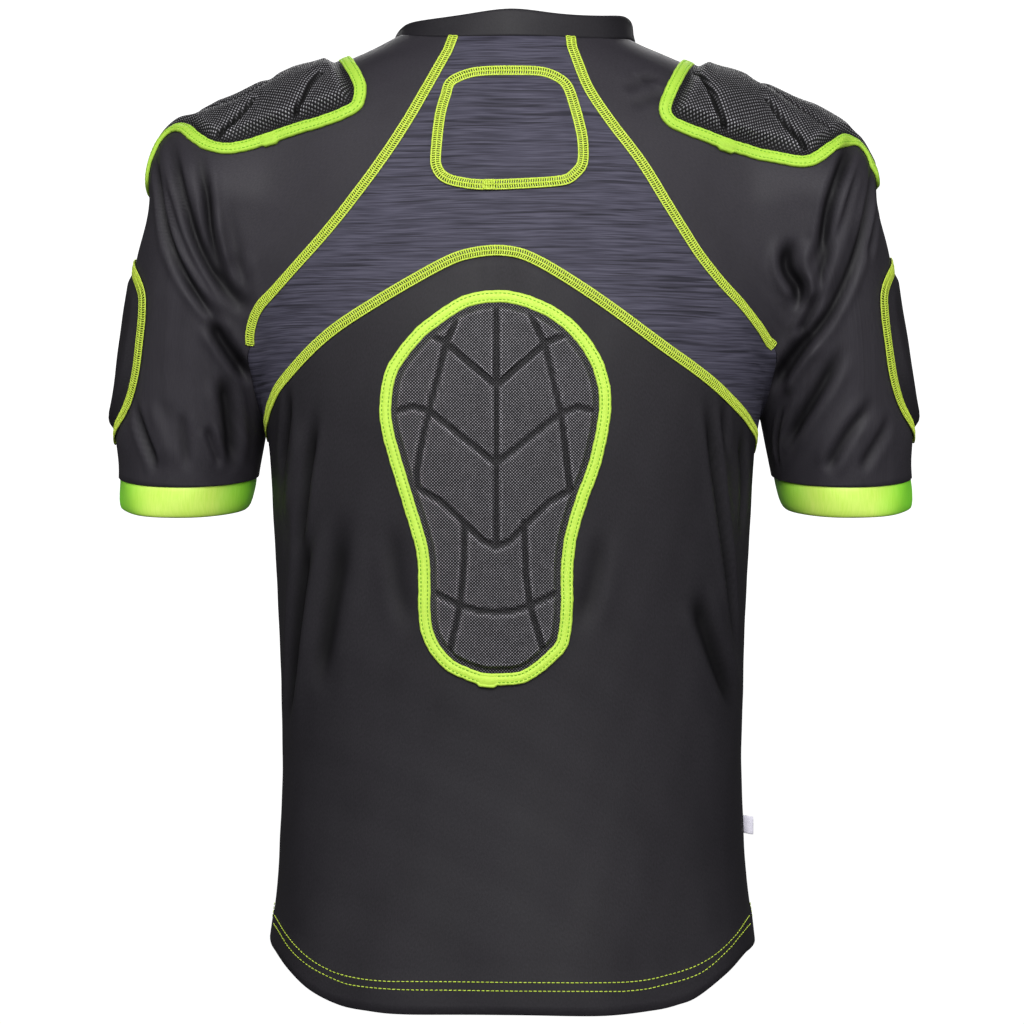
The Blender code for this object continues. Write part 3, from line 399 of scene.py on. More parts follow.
def from_front(x, z):
    """Lay points, across and height, on the front of the form."""
    x, z = np.asarray(x, float), np.asarray(z, float)
    lo, hi = np.full(x.shape, 0.17), np.full(x.shape, -0.02)
    ys = np.linspace(0.17, -0.05, 111)
    vals = np.stack([form(np.stack((x, y + 0 * x, z), -1)) for y in ys], -1)
    inside = vals < 0
    first = np.maximum(np.where(inside.any(-1), inside.argmax(-1), vals.argmin(-1)), 1)
    lo, hi = ys[first - 1], ys[first]
    for _ in range(14):
        mid = (lo + hi) / 2
        neg = form(np.stack((x, mid, z), -1)) < 0
        hi, lo = np.where(neg, mid, hi), np.where(neg, lo, mid)
    return settle(np.stack((x, (lo + hi) / 2, z), -1), 3)


def ring_point(angle, z):
    """Body ring: degrees round from the middle of the back (right is positive)."""
    a = np.radians(angle)
    s, c = np.sin(a), -np.cos(a)
    w, n = BODY_W(z), BODY_P(z)
    d = np.where(c < 0, BODY_B(z), BODY_F(z))
    r = ((np.abs(s) / w) ** n + (np.abs(c) / d) ** n) ** (-1 / n)
    return settle(np.stack((r * s, r * c, z + 0 * r), -1))


def curve(points, count, closed=False):
    """Smooth line through a short table (any number of columns)."""
    p = np.array(points, float)
    n = len(p)
    if closed:
        idx = lambda i: p[i % n]
        spans = n
    else:
        ext = np.vstack((2 * p[0] - p[1], p, 2 * p[-1] - p[-2]))
        idx = lambda i: ext[np.clip(i + 1, 0, n + 1)]
        spans = n - 1
    t = np.linspace(0, spans, count, endpoint=not closed)
    i = np.minimum(t.astype(int), spans - 1)
    f = (t - i)[:, None]
    a, b, c, d = idx(i - 1), idx(i), idx(i + 1), idx(i + 2)
    return b + 0.5 * f * (c - a + f * (2 * a - 5 * b + 4 * c - d + f * (3 * (b - c) + d - a)))


def even(p, count, closed=False, crowd=1.0):
    """Points at equal steps along a line, or crowded to its far end."""
    p = np.asarray(p, float)
    if closed:
        p = np.vstack((p, p[:1]))
    s = np.concatenate(([0], np.cumsum(np.linalg.norm(np.diff(p, axis=0), axis=1))))
    t = np.linspace(0, 1, count, endpoint=not closed)
    t = s[-1] * (1 - (1 - t) ** crowd)
    return np.stack([np.interp(t, s, p[:, k]) for k in range(p.shape[1])], -1)



# ---------------------------------------------------------------- folds
def fold_lines():
    """The fold tables laid on the form."""
    lines = [(w * FOLD_WIDE, d, steady(from_view(curve(rows, 30)))) for w, d, *rows in FOLDS_BACK]
    for w, d, *rows in FOLDS_FRONT:
        xz = curve(rows, 24) * 0.001
        lines.append((w * FOLD_WIDE, d, steady(from_front(xz[:, 0], xz[:, 1]))))
    return lines


def steady(line):
    """Takes the jitter out of a line laid on the form near its rim."""
    for _ in range(14):
        line = np.vstack((line[:1], 0.25 * line[:-2] + 0.5 * line[1:-1] + 0.25 * line[2:], line[-1:]))
    return settle(line, 3)


def fold(flat):
    total = np.zeros(len(flat))
    for width, depth, line in FOLD_LINES:
        reach = 0.0036 * width
        near = np.flatnonzero(((flat > line.min(0) - reach) & (flat < line.max(0) + reach)).all(1))
        if not len(near):
            continue
        q = flat[near]
        a, d = line[:-1], np.diff(line, axis=0)
        t = np.clip(((q[:, None] - a) * d).sum(-1) / (d * d).sum(-1), 0, 1)
        gap = np.linalg.norm(q[:, None] - a - t[..., None] * d, axis=-1)
        k = gap.argmin(1)
        pick = np.arange(len(q))
        along = (k + t[pick, k]) / len(d)
        ends = np.clip(np.minimum(along, 1 - along) / 0.28, 0, 1)
        ends = ends * ends * (3 - 2 * ends)
        g = gap[pick, k] * 1000 / width
        shape = np.exp(-g * g) - 0.34 * np.exp(-((g - 2.0) / 0.9) ** 2)
        total[near] += 0.001 * FOLD_FULL * depth * ends * shape
    return total


def caps(p):
    """The shoulder caps' corner under the ends of the shoulder pads."""
    out = np.zeros(len(p))
    for side, rows in CAPS.items():
        for x, z, wide, rise in rows:
            out += rise * np.exp(-(((p[:, 0] - side * x) ** 2 + 0.35 * (p[:, 1] - 0.004) ** 2 + (p[:, 2] - z) ** 2) / (wide * wide)))
    return out


def ripple(p):
    """Slight unevenness all over, and a slow wave along the hem."""
    x, y, z = p[:, 0], p[:, 1], p[:, 2]
    r = 0.00030 * np.sin(71 * x + 23 * z + 1.3) * np.sin(57 * z - 19 * x + 31 * y + 0.4)
    r = r + 0.00016 * np.sin(151 * x + 88 * y + 61 * z) * np.sin(43 * x - 133 * z + 2.1)
    low = np.clip((-0.50 - z) / 0.17, 0, 1) ** 2
    turn = np.arctan2(x, -y)
    return r + low * (0.0013 * np.sin(6 * turn + 0.5) + 0.0008 * np.sin(11 * turn + 1.9))


def disp(p):
    """How far the cloth stands out (or in, below 0) at points of the form."""
    flat = p.reshape(-1, 3)
    return (fold(flat) + ripple(flat) + caps(flat)).reshape(p.shape[:-1])


FOLD_LINES = fold_lines()


# ---------------------------------------------------------------- seams
def underarm(side):
    x, y = side * UNDERARM[0], UNDERARM[1]
    zs = np.linspace(-0.31, -0.20, 300)
    f = form(np.stack((np.full(300, x), np.full(300, y), zs), -1))
    k = int((f < 0).argmax())
    return to_crease(settle(np.array((x, y, zs[k]))), np.array(1.0))


def under_run(end, pit):
    """From the last place a raglan seam shows, along the crease, to the underarm point."""
    run = np.linspace(end, pit, 40)
    return to_crease(settle(run), np.clip(np.linspace(0, 2.2, 40), 0, 1))[1:]


def neck_line(a0, a1, count):
    ang = np.linspace(a0, a1, count)
    return ring_point(ang, NECK_Z(ang))


def seam_lines(k=1):
    s = {}
    for side, rows, key in ((-1, RAGLAN_LEFT, "L"), (1, RAGLAN_RIGHT, "R")):
        pit = underarm(side)
        back = from_view(curve(rows, 160))
        back[0] = neck_line(side * NECK_SEAM_BACK, side * NECK_SEAM_BACK, 1)[0]
        tail = under_run(back[-1], pit)
        s["back" + key] = settle(even(settle(np.vstack((back[4:], tail))), N_RAGLAN * k + 1, crowd=1.25))
        s["back" + key][0], s["back" + key][-1] = back[0], pit
        rf = np.array(RAGLAN_FRONT, float) * 0.001
        top = neck_line(side * NECK_SEAM_FRONT, side * NECK_SEAM_FRONT, 1)[0]
        line = curve(np.vstack(((abs(top[0]), top[2]), rf)), 120)
        front = from_front(side * line[:, 0], line[:, 1])
        front[0] = top
        tail = under_run(front[-1], pit)
        s["front" + key] = settle(even(settle(np.vstack((front, tail))), N_RAGLAN * k + 1, crowd=1.25))
        s["front" + key][0], s["front" + key][-1] = top, pit
        end = settle(np.array((side * 0.1762, 0.004, ARCH_END_Z[side])))
        s["bit" + key] = settle(np.linspace(pit, end, N_SIDE_BIT * k + 1))
        hem = settle(np.array((side * 0.1742, 0.0, HEM_SIDE_Z)))
        z = np.linspace(end[2], hem[2], N_SIDE * k + 1)
        s["side" + key] = settle(np.stack((np.full(len(z), side * 1.0) * BODY_W(z), np.linspace(end[1], 0, len(z)), z), -1))
        s["side" + key][0] = end
        a0, a1 = side * NECK_SEAM_BACK, side * NECK_SEAM_FRONT
        s["neck" + key] = neck_line(a0, a1, N_NECK_ARM * k + 1)
        s["neck" + key][0], s["neck" + key][-1] = s["back" + key][0], s["front" + key][0]
    arch = np.vstack((s["sideL"][:1], from_view(curve(ARCH, 240)), s["sideR"][:1]))
    s["arch"] = settle(even(arch, N_ARCH * k + 1))
    s["arch"][0], s["arch"][-1] = s["sideL"][0], s["sideR"][0]
    hem = np.vstack((s["sideL"][-1:], from_view(curve(HEM, 240)), s["sideR"][-1:]))
    s["hem_back"] = settle(even(hem, N_ARCH * k + 1))
    hb = s["hem_back"]
    s["hem_front"] = from_front(hb[:, 0], hb[:, 2])
    for key in ("hem_back", "hem_front"):
        s[key][0], s[key][-1] = s["sideL"][-1], s["sideR"][-1]
    s["neck_back"] = neck_line(-NECK_SEAM_BACK, NECK_SEAM_BACK, N_ARCH * k + 1)
    s["neck_back"][0], s["neck_back"][-1] = s["backL"][0], s["backR"][0]
    s["neck_front"] = ring_point(*front_neck(N_ARCH * k + 1))
    s["neck_front"][0], s["neck_front"][-1] = s["frontL"][0], s["frontR"][0]
    return s


def front_neck(count):
    ang = np.linspace(-NECK_SEAM_FRONT, -(360 - NECK_SEAM_FRONT), count)
    return ang, NECK_Z(((ang + 180) % 360) - 180)


# ---------------------------------------------------------------- panels
def coons(top, bottom, left, right):
    """Grid between four seams; rows run from top to bottom, columns from left to right."""
    nu, nv = len(top), len(left)
    u = np.linspace(0, 1, nu)[None, :, None]
    v = np.linspace(0, 1, nv)[:, None, None]
    ruled = (1 - v) * top[None] + v * bottom[None] + (1 - u) * left[:, None] + u * right[:, None]
    corner = (1 - u) * (1 - v) * top[0] + u * (1 - v) * top[-1] + (1 - u) * v * bottom[0] + u * v * bottom[-1]
    return ruled - corner


def relax(grid, wrap=False, times=220):
    """Even the grid out while it stays on the form; its edges stay put. The rule is the one that keeps
    cells from folding over a hollow edge."""
    g = grid.copy()
    for k in range(times + 1):
        e = np.concatenate((g[:, -1:], g, g[:, :1]), 1) if wrap else g
        c = e[1:-1, 1:-1]
        n, s, w, o = e[:-2, 1:-1], e[2:, 1:-1], e[1:-1, :-2], e[1:-1, 2:]
        across, down = (o - w) / 2, (s - n) / 2
        al, ga = (down * down).sum(-1, keepdims=True), (across * across).sum(-1, keepdims=True)
        be = (across * down).sum(-1, keepdims=True)
        cross = (e[2:, 2:] - e[2:, :-2] - e[:-2, 2:] + e[:-2, :-2]) / 4
        mean = (al * (o + w) + ga * (n + s) - 2 * be * cross) / (2 * (al + ga))
        new = settle(c if k == 0 else 0.4 * c + 0.6 * mean, 8 if k == 0 else 1)
        if wrap:
            g[1:-1] = new
        else:
            g[1:-1, 1:-1] = new
    g[1:-1] = settle(g[1:-1], 3) if wrap else g[1:-1]
    if not wrap:
        g[1:-1, 1:-1] = settle(g[1:-1, 1:-1], 3)
    return g


def spread(g, steps=None):
    """Space each column out again along its length; steps are relative row heights."""
    nv = len(g)
    w = np.ones(nv - 1) if steps is None else np.asarray(steps, float)
    at = np.concatenate(([0], np.cumsum(w))) / w.sum()
    out = g.copy()
    for _ in range(2):
        for j in range(g.shape[1]):
            line = curve(out[:, j], 40 * nv)
            s = np.concatenate(([0], np.cumsum(np.linalg.norm(np.diff(line, axis=0), axis=1))))
            out[1:-1, j] = np.stack([np.interp(at[1:-1] * s[-1], s, line[:, k]) for k in range(3)], -1)
        out[1:-1] = settle(out[1:-1], 4)
    out[0], out[-1] = g[0], g[-1]
    return out


def arm_point(side, share, degrees, level=False):
    """On the sleeve tube: share of the way down, degrees round from the outer edge (back is negative).
    level keeps a ring level across the body."""
    a = np.radians(np.asarray(degrees, float))
    share = np.asarray(share, float)
    w, d = ARM_W(share), ARM_D(share)
    arm = ARMS[side]
    out, fore = w * np.cos(a), d * np.sin(a)
    along = share * arm.length + (arm.tip * out if level else 0)
    p = _top + along[..., None] * arm.down + out[..., None] * arm.out + fore[..., None] * arm.fore
    return p * np.array((side, 1, 1))


def sleeve_angles():
    """Where each column of a sleeve ends round the cuff: inner edge, back, outer edge, front."""
    low = np.arange(N_RAGLAN + 1) / N_RAGLAN
    back = -180 + SLEEVE_BACK * low ** SLEEVE_OPEN
    over = np.linspace(back[-1], -back[-1], N_NECK_ARM + 1)
    return np.concatenate((back, over[1:], -back[::-1][1:-1]))


def sleeve_grid(s, side):
    key = "L" if side < 0 else "R"
    loop = np.vstack((s["back" + key][::-1], s["neck" + key][1:], s["front" + key][1:-1]))
    n = len(loop)
    ang = sleeve_angles()
    lean = np.cos(np.radians(ang))
    guide = settle(arm_point(side, 0.60 - 0.30 * lean, ang), 4)
    cuff = settle(arm_point(side, np.ones(n), ang, True), 4)
    rows = []
    for v in np.linspace(0, 1, N_SLEEVE + 1):
        rows.append(loop + (guide - loop) * v * 2 if v < 0.5 else guide + (cuff - guide) * (v * 2 - 1))
    g = np.array(rows)
    g[0], g[-1] = loop, cuff
    return spread(relax(g, True, 300), np.interp(np.arange(N_SLEEVE), (0, N_SLEEVE * 0.6, N_SLEEVE), (1, 1, 2.3)))


def inset(outline, by):
    """Move a closed chart outline in along its own normals."""
    t = np.roll(outline, -1, 0) - np.roll(outline, 1, 0)
    t /= np.linalg.norm(t, axis=1, keepdims=True)
    n = np.stack((-t[:, 1], t[:, 0]), -1)
    c = outline.mean(0)
    if ((c - outline) * n).sum() < 0:
        n = -n
    return outline + n * by


# ---------------------------------------------------------------- the shoulder line and what is measured from it
class ShoulderChart:
    """Distances along the shoulder line from the neck seam, and off it round the shoulder."""

    def __init__(self, side):
        mirror = np.array((side, 1.0, 1.0))
        hub = np.array((0.165, 0.0, -0.125))
        ang = np.radians(np.linspace(128, -62, 420))
        aim = np.stack((np.cos(ang), 0 * ang, np.sin(ang)), -1)
        lo, hi = np.full(len(ang), 0.01), np.full(len(ang), 0.26)
        r = np.linspace(0.01, 0.26, 251)
        vals = np.stack([form((hub + aim * q) * mirror) for q in r], -1)
        first = (vals > 0).argmax(-1)
        lo, hi = r[np.maximum(first - 1, 0)], r[first]
        for _ in range(16):
            mid = (lo + hi) / 2
            neg = form((hub + aim * mid[:, None]) * mirror) < 0
            lo, hi = np.where(neg, mid, lo), np.where(neg, hi, mid)
        line = (hub + aim * lo[:, None]) * mirror
        neck = ring_point(side * 90.0, NECK_Z(side * 90.0))
        start = int(np.argmin(np.linalg.norm(line - neck, axis=1)))
        line = line[start:]
        self.s = np.concatenate(([0], np.cumsum(np.linalg.norm(np.diff(line, axis=0), axis=1))))
        self.line, self.side = line, side

    def at(self, s):
        return np.stack([np.interp(s, self.s, self.line[:, k]) for k in range(3)], -1)

    def lay(self, sw):
        s, w = sw[..., 0] * 0.001, sw[..., 1] * 0.001
        p = self.at(s)
        t = self.at(s + 0.004) - self.at(s - 0.004)
        t /= np.linalg.norm(t, axis=-1, keepdims=True)
        steps = 24
        for _ in range(steps):
            d = np.cross(normal(p), t) * self.side          # round to the front
            d /= np.linalg.norm(d, axis=-1, keepdims=True)
            p = settle(p + d * (w / steps)[..., None], 1)
        return p


def arm_lay(side):
    def lay(c):
        return settle(arm_point(side, c[..., 0], c[..., 1]), 4)
    return lay


def sleeve_pad_outline(count):
    top, foot, back, front = SLEEVE_PAD_SIZE
    a = np.linspace(0, 2 * math.pi, count, endpoint=False)
    c, s = np.cos(a), np.sin(a)
    share = (top + foot) / 2 + (foot - top) / 2 * np.sign(c) * np.abs(c) ** 0.8
    deg = np.where(s < 0, back, front) * np.sign(s) * np.abs(s) ** 0.75
    return np.stack((share, deg), -1)



# ---------------------------------------------------------------- meshes
def build(name, verts, faces, uvs, mat, smooth=True):
    mesh = bpy.data.meshes.new(name)
    mesh.from_pydata(np.asarray(verts, float).tolist(), [], faces)
    if uvs is not None:
        layer = mesh.uv_layers.new(name="cloth")
        layer.data.foreach_set("uv", np.asarray(uvs, float).ravel())
    if smooth:
        mesh.polygons.foreach_set("use_smooth", [True] * len(mesh.polygons))
    mesh.materials.append(mat)
    obj = bpy.data.objects.new(name, mesh)
    bpy.context.scene.collection.objects.link(obj)
    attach(obj, "root")
    return obj


def upsample(g, k, axis, wrap=False):
    """Cubic steps between the points of a grid."""
    g = np.moveaxis(g, axis, 0)
    n = len(g)
    if wrap:
        at, spans = (lambda i: g[i % n]), n
    else:
        ext = np.concatenate((2 * g[:1] - g[1:2], g, 2 * g[-1:] - g[-2:-1]))
        at, spans = (lambda i: ext[np.clip(i + 1, 0, n + 1)]), n - 1
    t = np.arange(spans * k + (0 if wrap else 1)) / k
    i = np.minimum(t.astype(int), spans - 1)
    f = (t - i).reshape((-1,) + (1,) * (g.ndim - 1))
    a, b, c, d = at(i - 1), at(i), at(i + 1), at(i + 2)
    return np.moveaxis(b + 0.5 * f * (c - a + f * (2 * a - 5 * b + 4 * c - d + f * (3 * (b - c) + d - a))), 0, axis)


def finer(coarse, kv, ku, top, bottom, left=None, right=None):
    """A CAD panel grid at finer steps down and across, held to its seams."""
    wrap = left is None
    g = upsample(upsample(coarse, kv, 0), ku, 1, wrap)
    nv, nu = g.shape[:2]
    v = np.linspace(0, 1, nv)[:, None, None]
    fix = (1 - v) ** 3 * (top - g[0])[None] + v ** 3 * (bottom - g[-1])[None]
    if not wrap:
        u = np.linspace(0, 1, nu)[None, :, None]
        fix = fix + (1 - u) ** 3 * (left - g[:, 0])[:, None] + u ** 3 * (right - g[:, -1])[:, None]
    return settle(g + fix, 3)


def lengths(g, axis):
    d = np.linalg.norm(np.diff(g, axis=axis), axis=-1)
    z = np.zeros((1, g.shape[1]) if axis == 0 else (g.shape[0], 1))
    return np.concatenate((z, np.cumsum(d, axis=axis)), axis=axis)


def wall(name, outer, inner, wrap, mat, round_by=0.45, skip=1):
    """Closed cloth wall between two grids, with rounded edges and a cloth-sized UV map.
    The inside takes every point, or one in skip of them each way."""
    nv, nu = outer.shape[:2]
    thick = float(np.median(np.linalg.norm(outer - inner, axis=-1)))
    off = nv * nu
    idx = np.arange(off).reshape(nv, nu)
    closed = np.concatenate((outer, outer[:, :1]), 1) if wrap else outer
    su, sv = lengths(closed, 1), lengths(closed, 0)
    su = su - su[:, su.shape[1] // 2][:, None]
    uv = np.stack((su, -sv), -1)
    cols = np.concatenate((idx, idx[:, :1]), 1) if wrap else idx
    few = inner[::skip, ::skip]
    lining = np.full((nv, nu), -1)
    lining[::skip, ::skip] = off + np.arange(few.shape[0] * few.shape[1]).reshape(few.shape[:2])
    lining_cols = np.concatenate((lining, lining[:, :1]), 1)[::skip, ::skip] if wrap else lining[::skip, ::skip]

    def cells(ids, at):
        q = np.stack((ids[:-1, :-1], ids[:-1, 1:], ids[1:, 1:], ids[1:, :-1]), -1).reshape(-1, 4)
        return q, np.stack((at[:-1, :-1], at[:-1, 1:], at[1:, 1:], at[1:, :-1]), 2).reshape(-1, 4, 2)
    quads, quv = cells(cols, uv)
    under, under_uv = cells(lining_cols, uv[::skip, ::skip])
    groups = [(quads, quv), (under[:, ::-1], under_uv[:, ::-1])]
    verts = [outer.reshape(-1, 3), few.reshape(-1, 3)]
    count = off + few.shape[0] * few.shape[1]
    edges = []
    if wrap:
        edges.append((cols[0], uv[0], outer[1] - outer[0]))
        edges.append((cols[-1][::-1], uv[-1][::-1], (outer[-2] - outer[-1])[np.r_[0, nu - 1:0:-1]]))
    else:
        ring = [(0, j) for j in range(nu)] + [(i, nu - 1) for i in range(1, nv)]
        ring += [(nv - 1, j) for j in range(nu - 2, -1, -1)] + [(i, 0) for i in range(nv - 2, -1, -1)]
        ii, jj = np.array(ring).T
        inside = outer[np.clip(ii, 1, nv - 2), np.clip(jj, 1, nu - 2)] - outer[ii, jj]
        edges.append((idx[ii, jj], uv[ii, jj], inside[:-1]))
    flat_inner = inner.reshape(-1, 3)
    for run, ruv, inside in edges:
        ids = run[:-1]
        po, pi = verts[0][ids], flat_inner[ids]
        through = po - pi
        way = inside - ((inside * through).sum(-1, keepdims=True) / (through * through).sum(-1, keepdims=True)) * through
        way /= np.linalg.norm(way, axis=-1, keepdims=True) + 1e-12
        verts.append((po + pi) / 2 - way * thick * round_by)
        mid = count + np.arange(len(ids))
        count += len(ids)
        nxt, mnx = np.roll(ids, -1), np.roll(mid, -1)
        u0, u1 = ruv[:-1], ruv[1:]
        groups.append((np.stack((nxt, ids, mid, mnx), -1), np.stack((u1, u0, u0, u1), 1)))
        at = np.arange(0, len(ids), skip)
        far = (at + skip) % len(ids)
        below = lining.reshape(-1)[ids]
        steps = list(range(skip, -1, -1))
        face = [mid[(at + k) % len(ids)] for k in steps] + [below[at], below[far]]
        spot = [ruv[at + k] for k in steps] + [ruv[at], ruv[at + skip]]
        groups.append((np.stack(face, -1), np.stack(spot, 1)))
    verts = np.vstack(verts)
    q = verts[quads]
    face_n = np.cross(q[:, 2] - q[:, 0], q[:, 3] - q[:, 1])
    if ((verts[quads[:, 0]] - flat_inner[quads[:, 0]]) * face_n).sum() < 0:
        groups = [(f[:, ::-1], t[:, ::-1]) for f, t in groups]
    faces = [row for f, _ in groups for row in f.tolist()]
    uvs = np.vstack([t.reshape(-1, 2) for _, t in groups])
    obj = build(name, verts, faces, uvs, mat)
    area = float(np.linalg.norm(face_n, axis=-1).sum() / 2)
    return obj, (float(lengths(closed, 1)[:, -1].max()), float(lengths(closed, 0)[-1].max()), area)


def even_out(h, wrap, times=1):
    """Averages heights a little along the grid, so that slanting folds have no steps."""
    for _ in range(times):
        up = np.concatenate((h[:1], h, h[-1:]))
        h = 0.25 * up[:-2] + 0.5 * h + 0.25 * up[2:]
        out = np.concatenate((h[:, -1:], h, h[:, :1]), 1) if wrap else np.concatenate((h[:, :1], h, h[:, -1:]), 1)
        h = 0.25 * out[:, :-2] + 0.5 * h + 0.25 * out[:, 2:]
    return h


def lowest(h, reach=2):
    """The lowest height close to each point of a grid that closes on itself across."""
    for axis in (0, 1):
        pad = [(0, 0), (0, 0)]
        pad[axis] = (reach, reach)
        wide = np.pad(h, pad, mode="wrap" if axis else "edge")
        size = h.shape[axis]
        h = np.min([np.take(wide, range(k, k + size), axis) for k in range(2 * reach + 1)], 0)
    return h


def cloth(name, grid, wrap, mat, step=None, skip=1):
    n = normal(grid)
    lift = even_out(disp(grid), wrap)
    if step is not None:
        lift = lift + step(grid)
    base = pull_in(grid, n, wrap)
    low = lowest(lift) if skip > 1 else lift
    made = wall(name, base + n * lift[..., None], base + n * (low - WALL)[..., None], wrap, mat, skip=skip)
    # painted shade: how deep in a fold each outer point lies, kept as a mask that darkens the knit's colour at the
    # bottom of each fold
    depth = np.zeros(len(made[0].data.vertices))
    depth[:lift.size] = np.clip(-even_out(fold(grid.reshape(-1, 3)).reshape(lift.shape), wrap).ravel() / 0.0042, 0, 1)
    layer = made[0].data.attributes.new("crease", "FLOAT_COLOR", "POINT")
    layer.data.foreach_set("color", np.stack((depth, depth, depth, 0 * depth + 1), -1).ravel())
    return made


def pull_in(g, n, wrap):
    """Half the seam gap, taken off each edge along the cloth, square to the seam."""
    out = g.copy()

    def shift(edge, up, inside, closed):
        run = np.roll(edge, -1, 0) - np.roll(edge, 1, 0) if closed else np.gradient(edge, axis=0)
        d = np.cross(up, run)
        d /= np.linalg.norm(d, axis=-1, keepdims=True)
        return d * np.where(((inside - edge) * d).sum(-1, keepdims=True) < 0, -1, 1) * GAP / 2
    out[0] += shift(g[0], n[0], g[1], wrap)
    out[-1] += shift(g[-1], n[-1], g[-2], wrap)
    if not wrap:
        out[:, 0] += shift(g[:, 0], n[:, 0], g[:, 1], False)
        out[:, -1] += shift(g[:, -1], n[:, -1], g[:, -2], False)
    return out


def frames(line, closed):
    """Tangent, normal and sideways directions along a line on the form."""
    t = np.roll(line, -1, 0) - np.roll(line, 1, 0) if closed else np.gradient(line, axis=0)
    n = normal(line)
    t = t - (t * n).sum(-1, keepdims=True) * n
    t /= np.linalg.norm(t, axis=-1, keepdims=True)
    return t, n, np.cross(n, t)


def raised(line, side, off, lift):
    """Points beside a line, stood off the folded cloth."""
    p = settle(line + side * np.asarray(off, float).reshape(-1, 1), 2)
    return p + normal(p) * (disp(p) + lift)[:, None]


def tube(line, radius, closed, sides=5, flat=0.8):
    """Vertices and faces of a thread along a line."""
    t = np.roll(line, -1, 0) - np.roll(line, 1, 0) if closed else np.gradient(line, axis=0)
    t /= np.linalg.norm(t, axis=-1, keepdims=True)
    n = normal(line)
    s = np.cross(n, t)
    s /= np.linalg.norm(s, axis=-1, keepdims=True)
    a = np.arange(sides) * 2 * math.pi / sides
    r = line[:, None] + radius * (np.cos(a)[None, :, None] * s[:, None] + flat * np.sin(a)[None, :, None] * n[:, None])
    m = len(line)
    verts = r.reshape(-1, 3)
    i = np.arange(m if closed else m - 1)
    faces = []
    for k in range(sides):
        k2 = (k + 1) % sides
        j = (i + 1) % m
        faces.append(np.stack((i * sides + k, i * sides + k2, j * sides + k2, j * sides + k), -1))
    faces = np.vstack(faces).tolist()
    if not closed:
        faces.append(list(range(sides))[::-1])
        faces.append([(m - 1) * sides + k for k in range(sides)])
    return verts, faces


def stitches(c, t, n, half, radius, sides=6):
    """Vertices and faces of short thread lengths: centre, direction, up, half length, radius."""
    s = np.cross(n, t)
    half = np.broadcast_to(half, (len(c),))[:, None, None]
    a = np.arange(sides) * 2 * math.pi / sides
    ring = np.cos(a)[None, :, None] * s[:, None] + 0.85 * np.sin(a)[None, :, None] * n[:, None]
    c, t = c[:, None], t[:, None]
    verts = np.concatenate((c - t * half, c - t * half * 0.72 + radius * ring, c + t * half * 0.72 + radius * ring, c + t * half), 1)
    per = 2 + 2 * sides
    base = np.arange(len(c)) * per
    faces = []
    for k in range(sides):
        k2 = (k + 1) % sides
        faces += np.stack((base, base + 1 + k2, base + 1 + k), -1).tolist()
        faces += np.stack((base + 1 + k, base + 1 + k2, base + 1 + sides + k2, base + 1 + sides + k), -1).tolist()
        faces += np.stack((base + 1 + sides + k, base + 1 + sides + k2, base + 1 + 2 * sides), -1).tolist()
    return verts.reshape(-1, 3), faces


def joined(name, bits, mat):
    """One piece from several closed bits of thread, faces turned outward bit by bit."""
    verts, faces, at = [], [], 0
    for v, f in bits:
        verts.append(v)
        faces += [[i + at for i in q] for q in f]
        at += len(v)
    return build(name, np.vstack(verts), faces, None, mat)


def length_of(p, closed=False):
    q = np.vstack((p, p[:1])) if closed else p
    return float(np.linalg.norm(np.diff(q, axis=0), axis=1).sum())


def flatlock(name, line, closed, mat, lift, wide):
    """Flat overlock seam: rungs across the seam, a cord along its middle and one along each edge."""
    count = int(length_of(line, closed) / RUNG)
    line = settle(even(line, count if closed else count + 1, closed), 2)
    t, n, side = frames(line, closed)
    bits = []
    for off, r, up in ((-wide / 2, 0.00062, 0.0), (0.0, 0.00056, 0.0003), (wide / 2, 0.00062, 0.0)):
        bits.append(tube(raised(line, side, np.full(len(line), off), lift + up), r, closed))
    for off in (-0.25, 0.25):
        c = raised(line, side, np.full(len(line), off * wide), lift + 0.0001)
        lean = side + t * (0.16 if off < 0 else -0.16)
        lean /= np.linalg.norm(lean, axis=-1, keepdims=True)
        bits.append(stitches(c, lean, n, wide * 0.27, 0.00054, 5))
    return joined(name, bits, mat)


def dashes(name, lines, pitch, half, radius, mat, lift=0.0002):
    bits = []
    for line, closed in lines:
        count = int(length_of(line, closed) / pitch)
        p = settle(even(line, count if closed else count + 1, closed), 2)
        t, n, side = frames(p, closed)
        bits.append(stitches(raised(p, side, np.zeros(len(p)), lift), t, n, half, radius))
    return joined(name, bits, mat)


# ---------------------------------------------------------------- pads and bindings
def to_lines(q, lines):
    """Least distance from chart points to a set of chart lines."""
    best = np.full(len(q), 1e9)
    for line in lines:
        a, d = line[:-1], np.diff(line, axis=0)
        t = np.clip(((q[:, None] - a) * d).sum(-1) / ((d * d).sum(-1) + 1e-12), 0, 1)
        best = np.minimum(best, np.linalg.norm(q[:, None] - a - t[..., None] * d, axis=-1).min(1))
    return best


def soft_step(x, a, b):
    t = np.clip((x - a) / (b - a), 0, 1)
    return t * t * (3 - 2 * t)


def fair(outline, times=14):
    """Takes small corners out of a closed line without shrinking it."""
    for _ in range(times):
        for by in (0.5, -0.53):
            outline = outline + by * (0.5 * (np.roll(outline, 1, 0) + np.roll(outline, -1, 0)) - outline)
    return outline


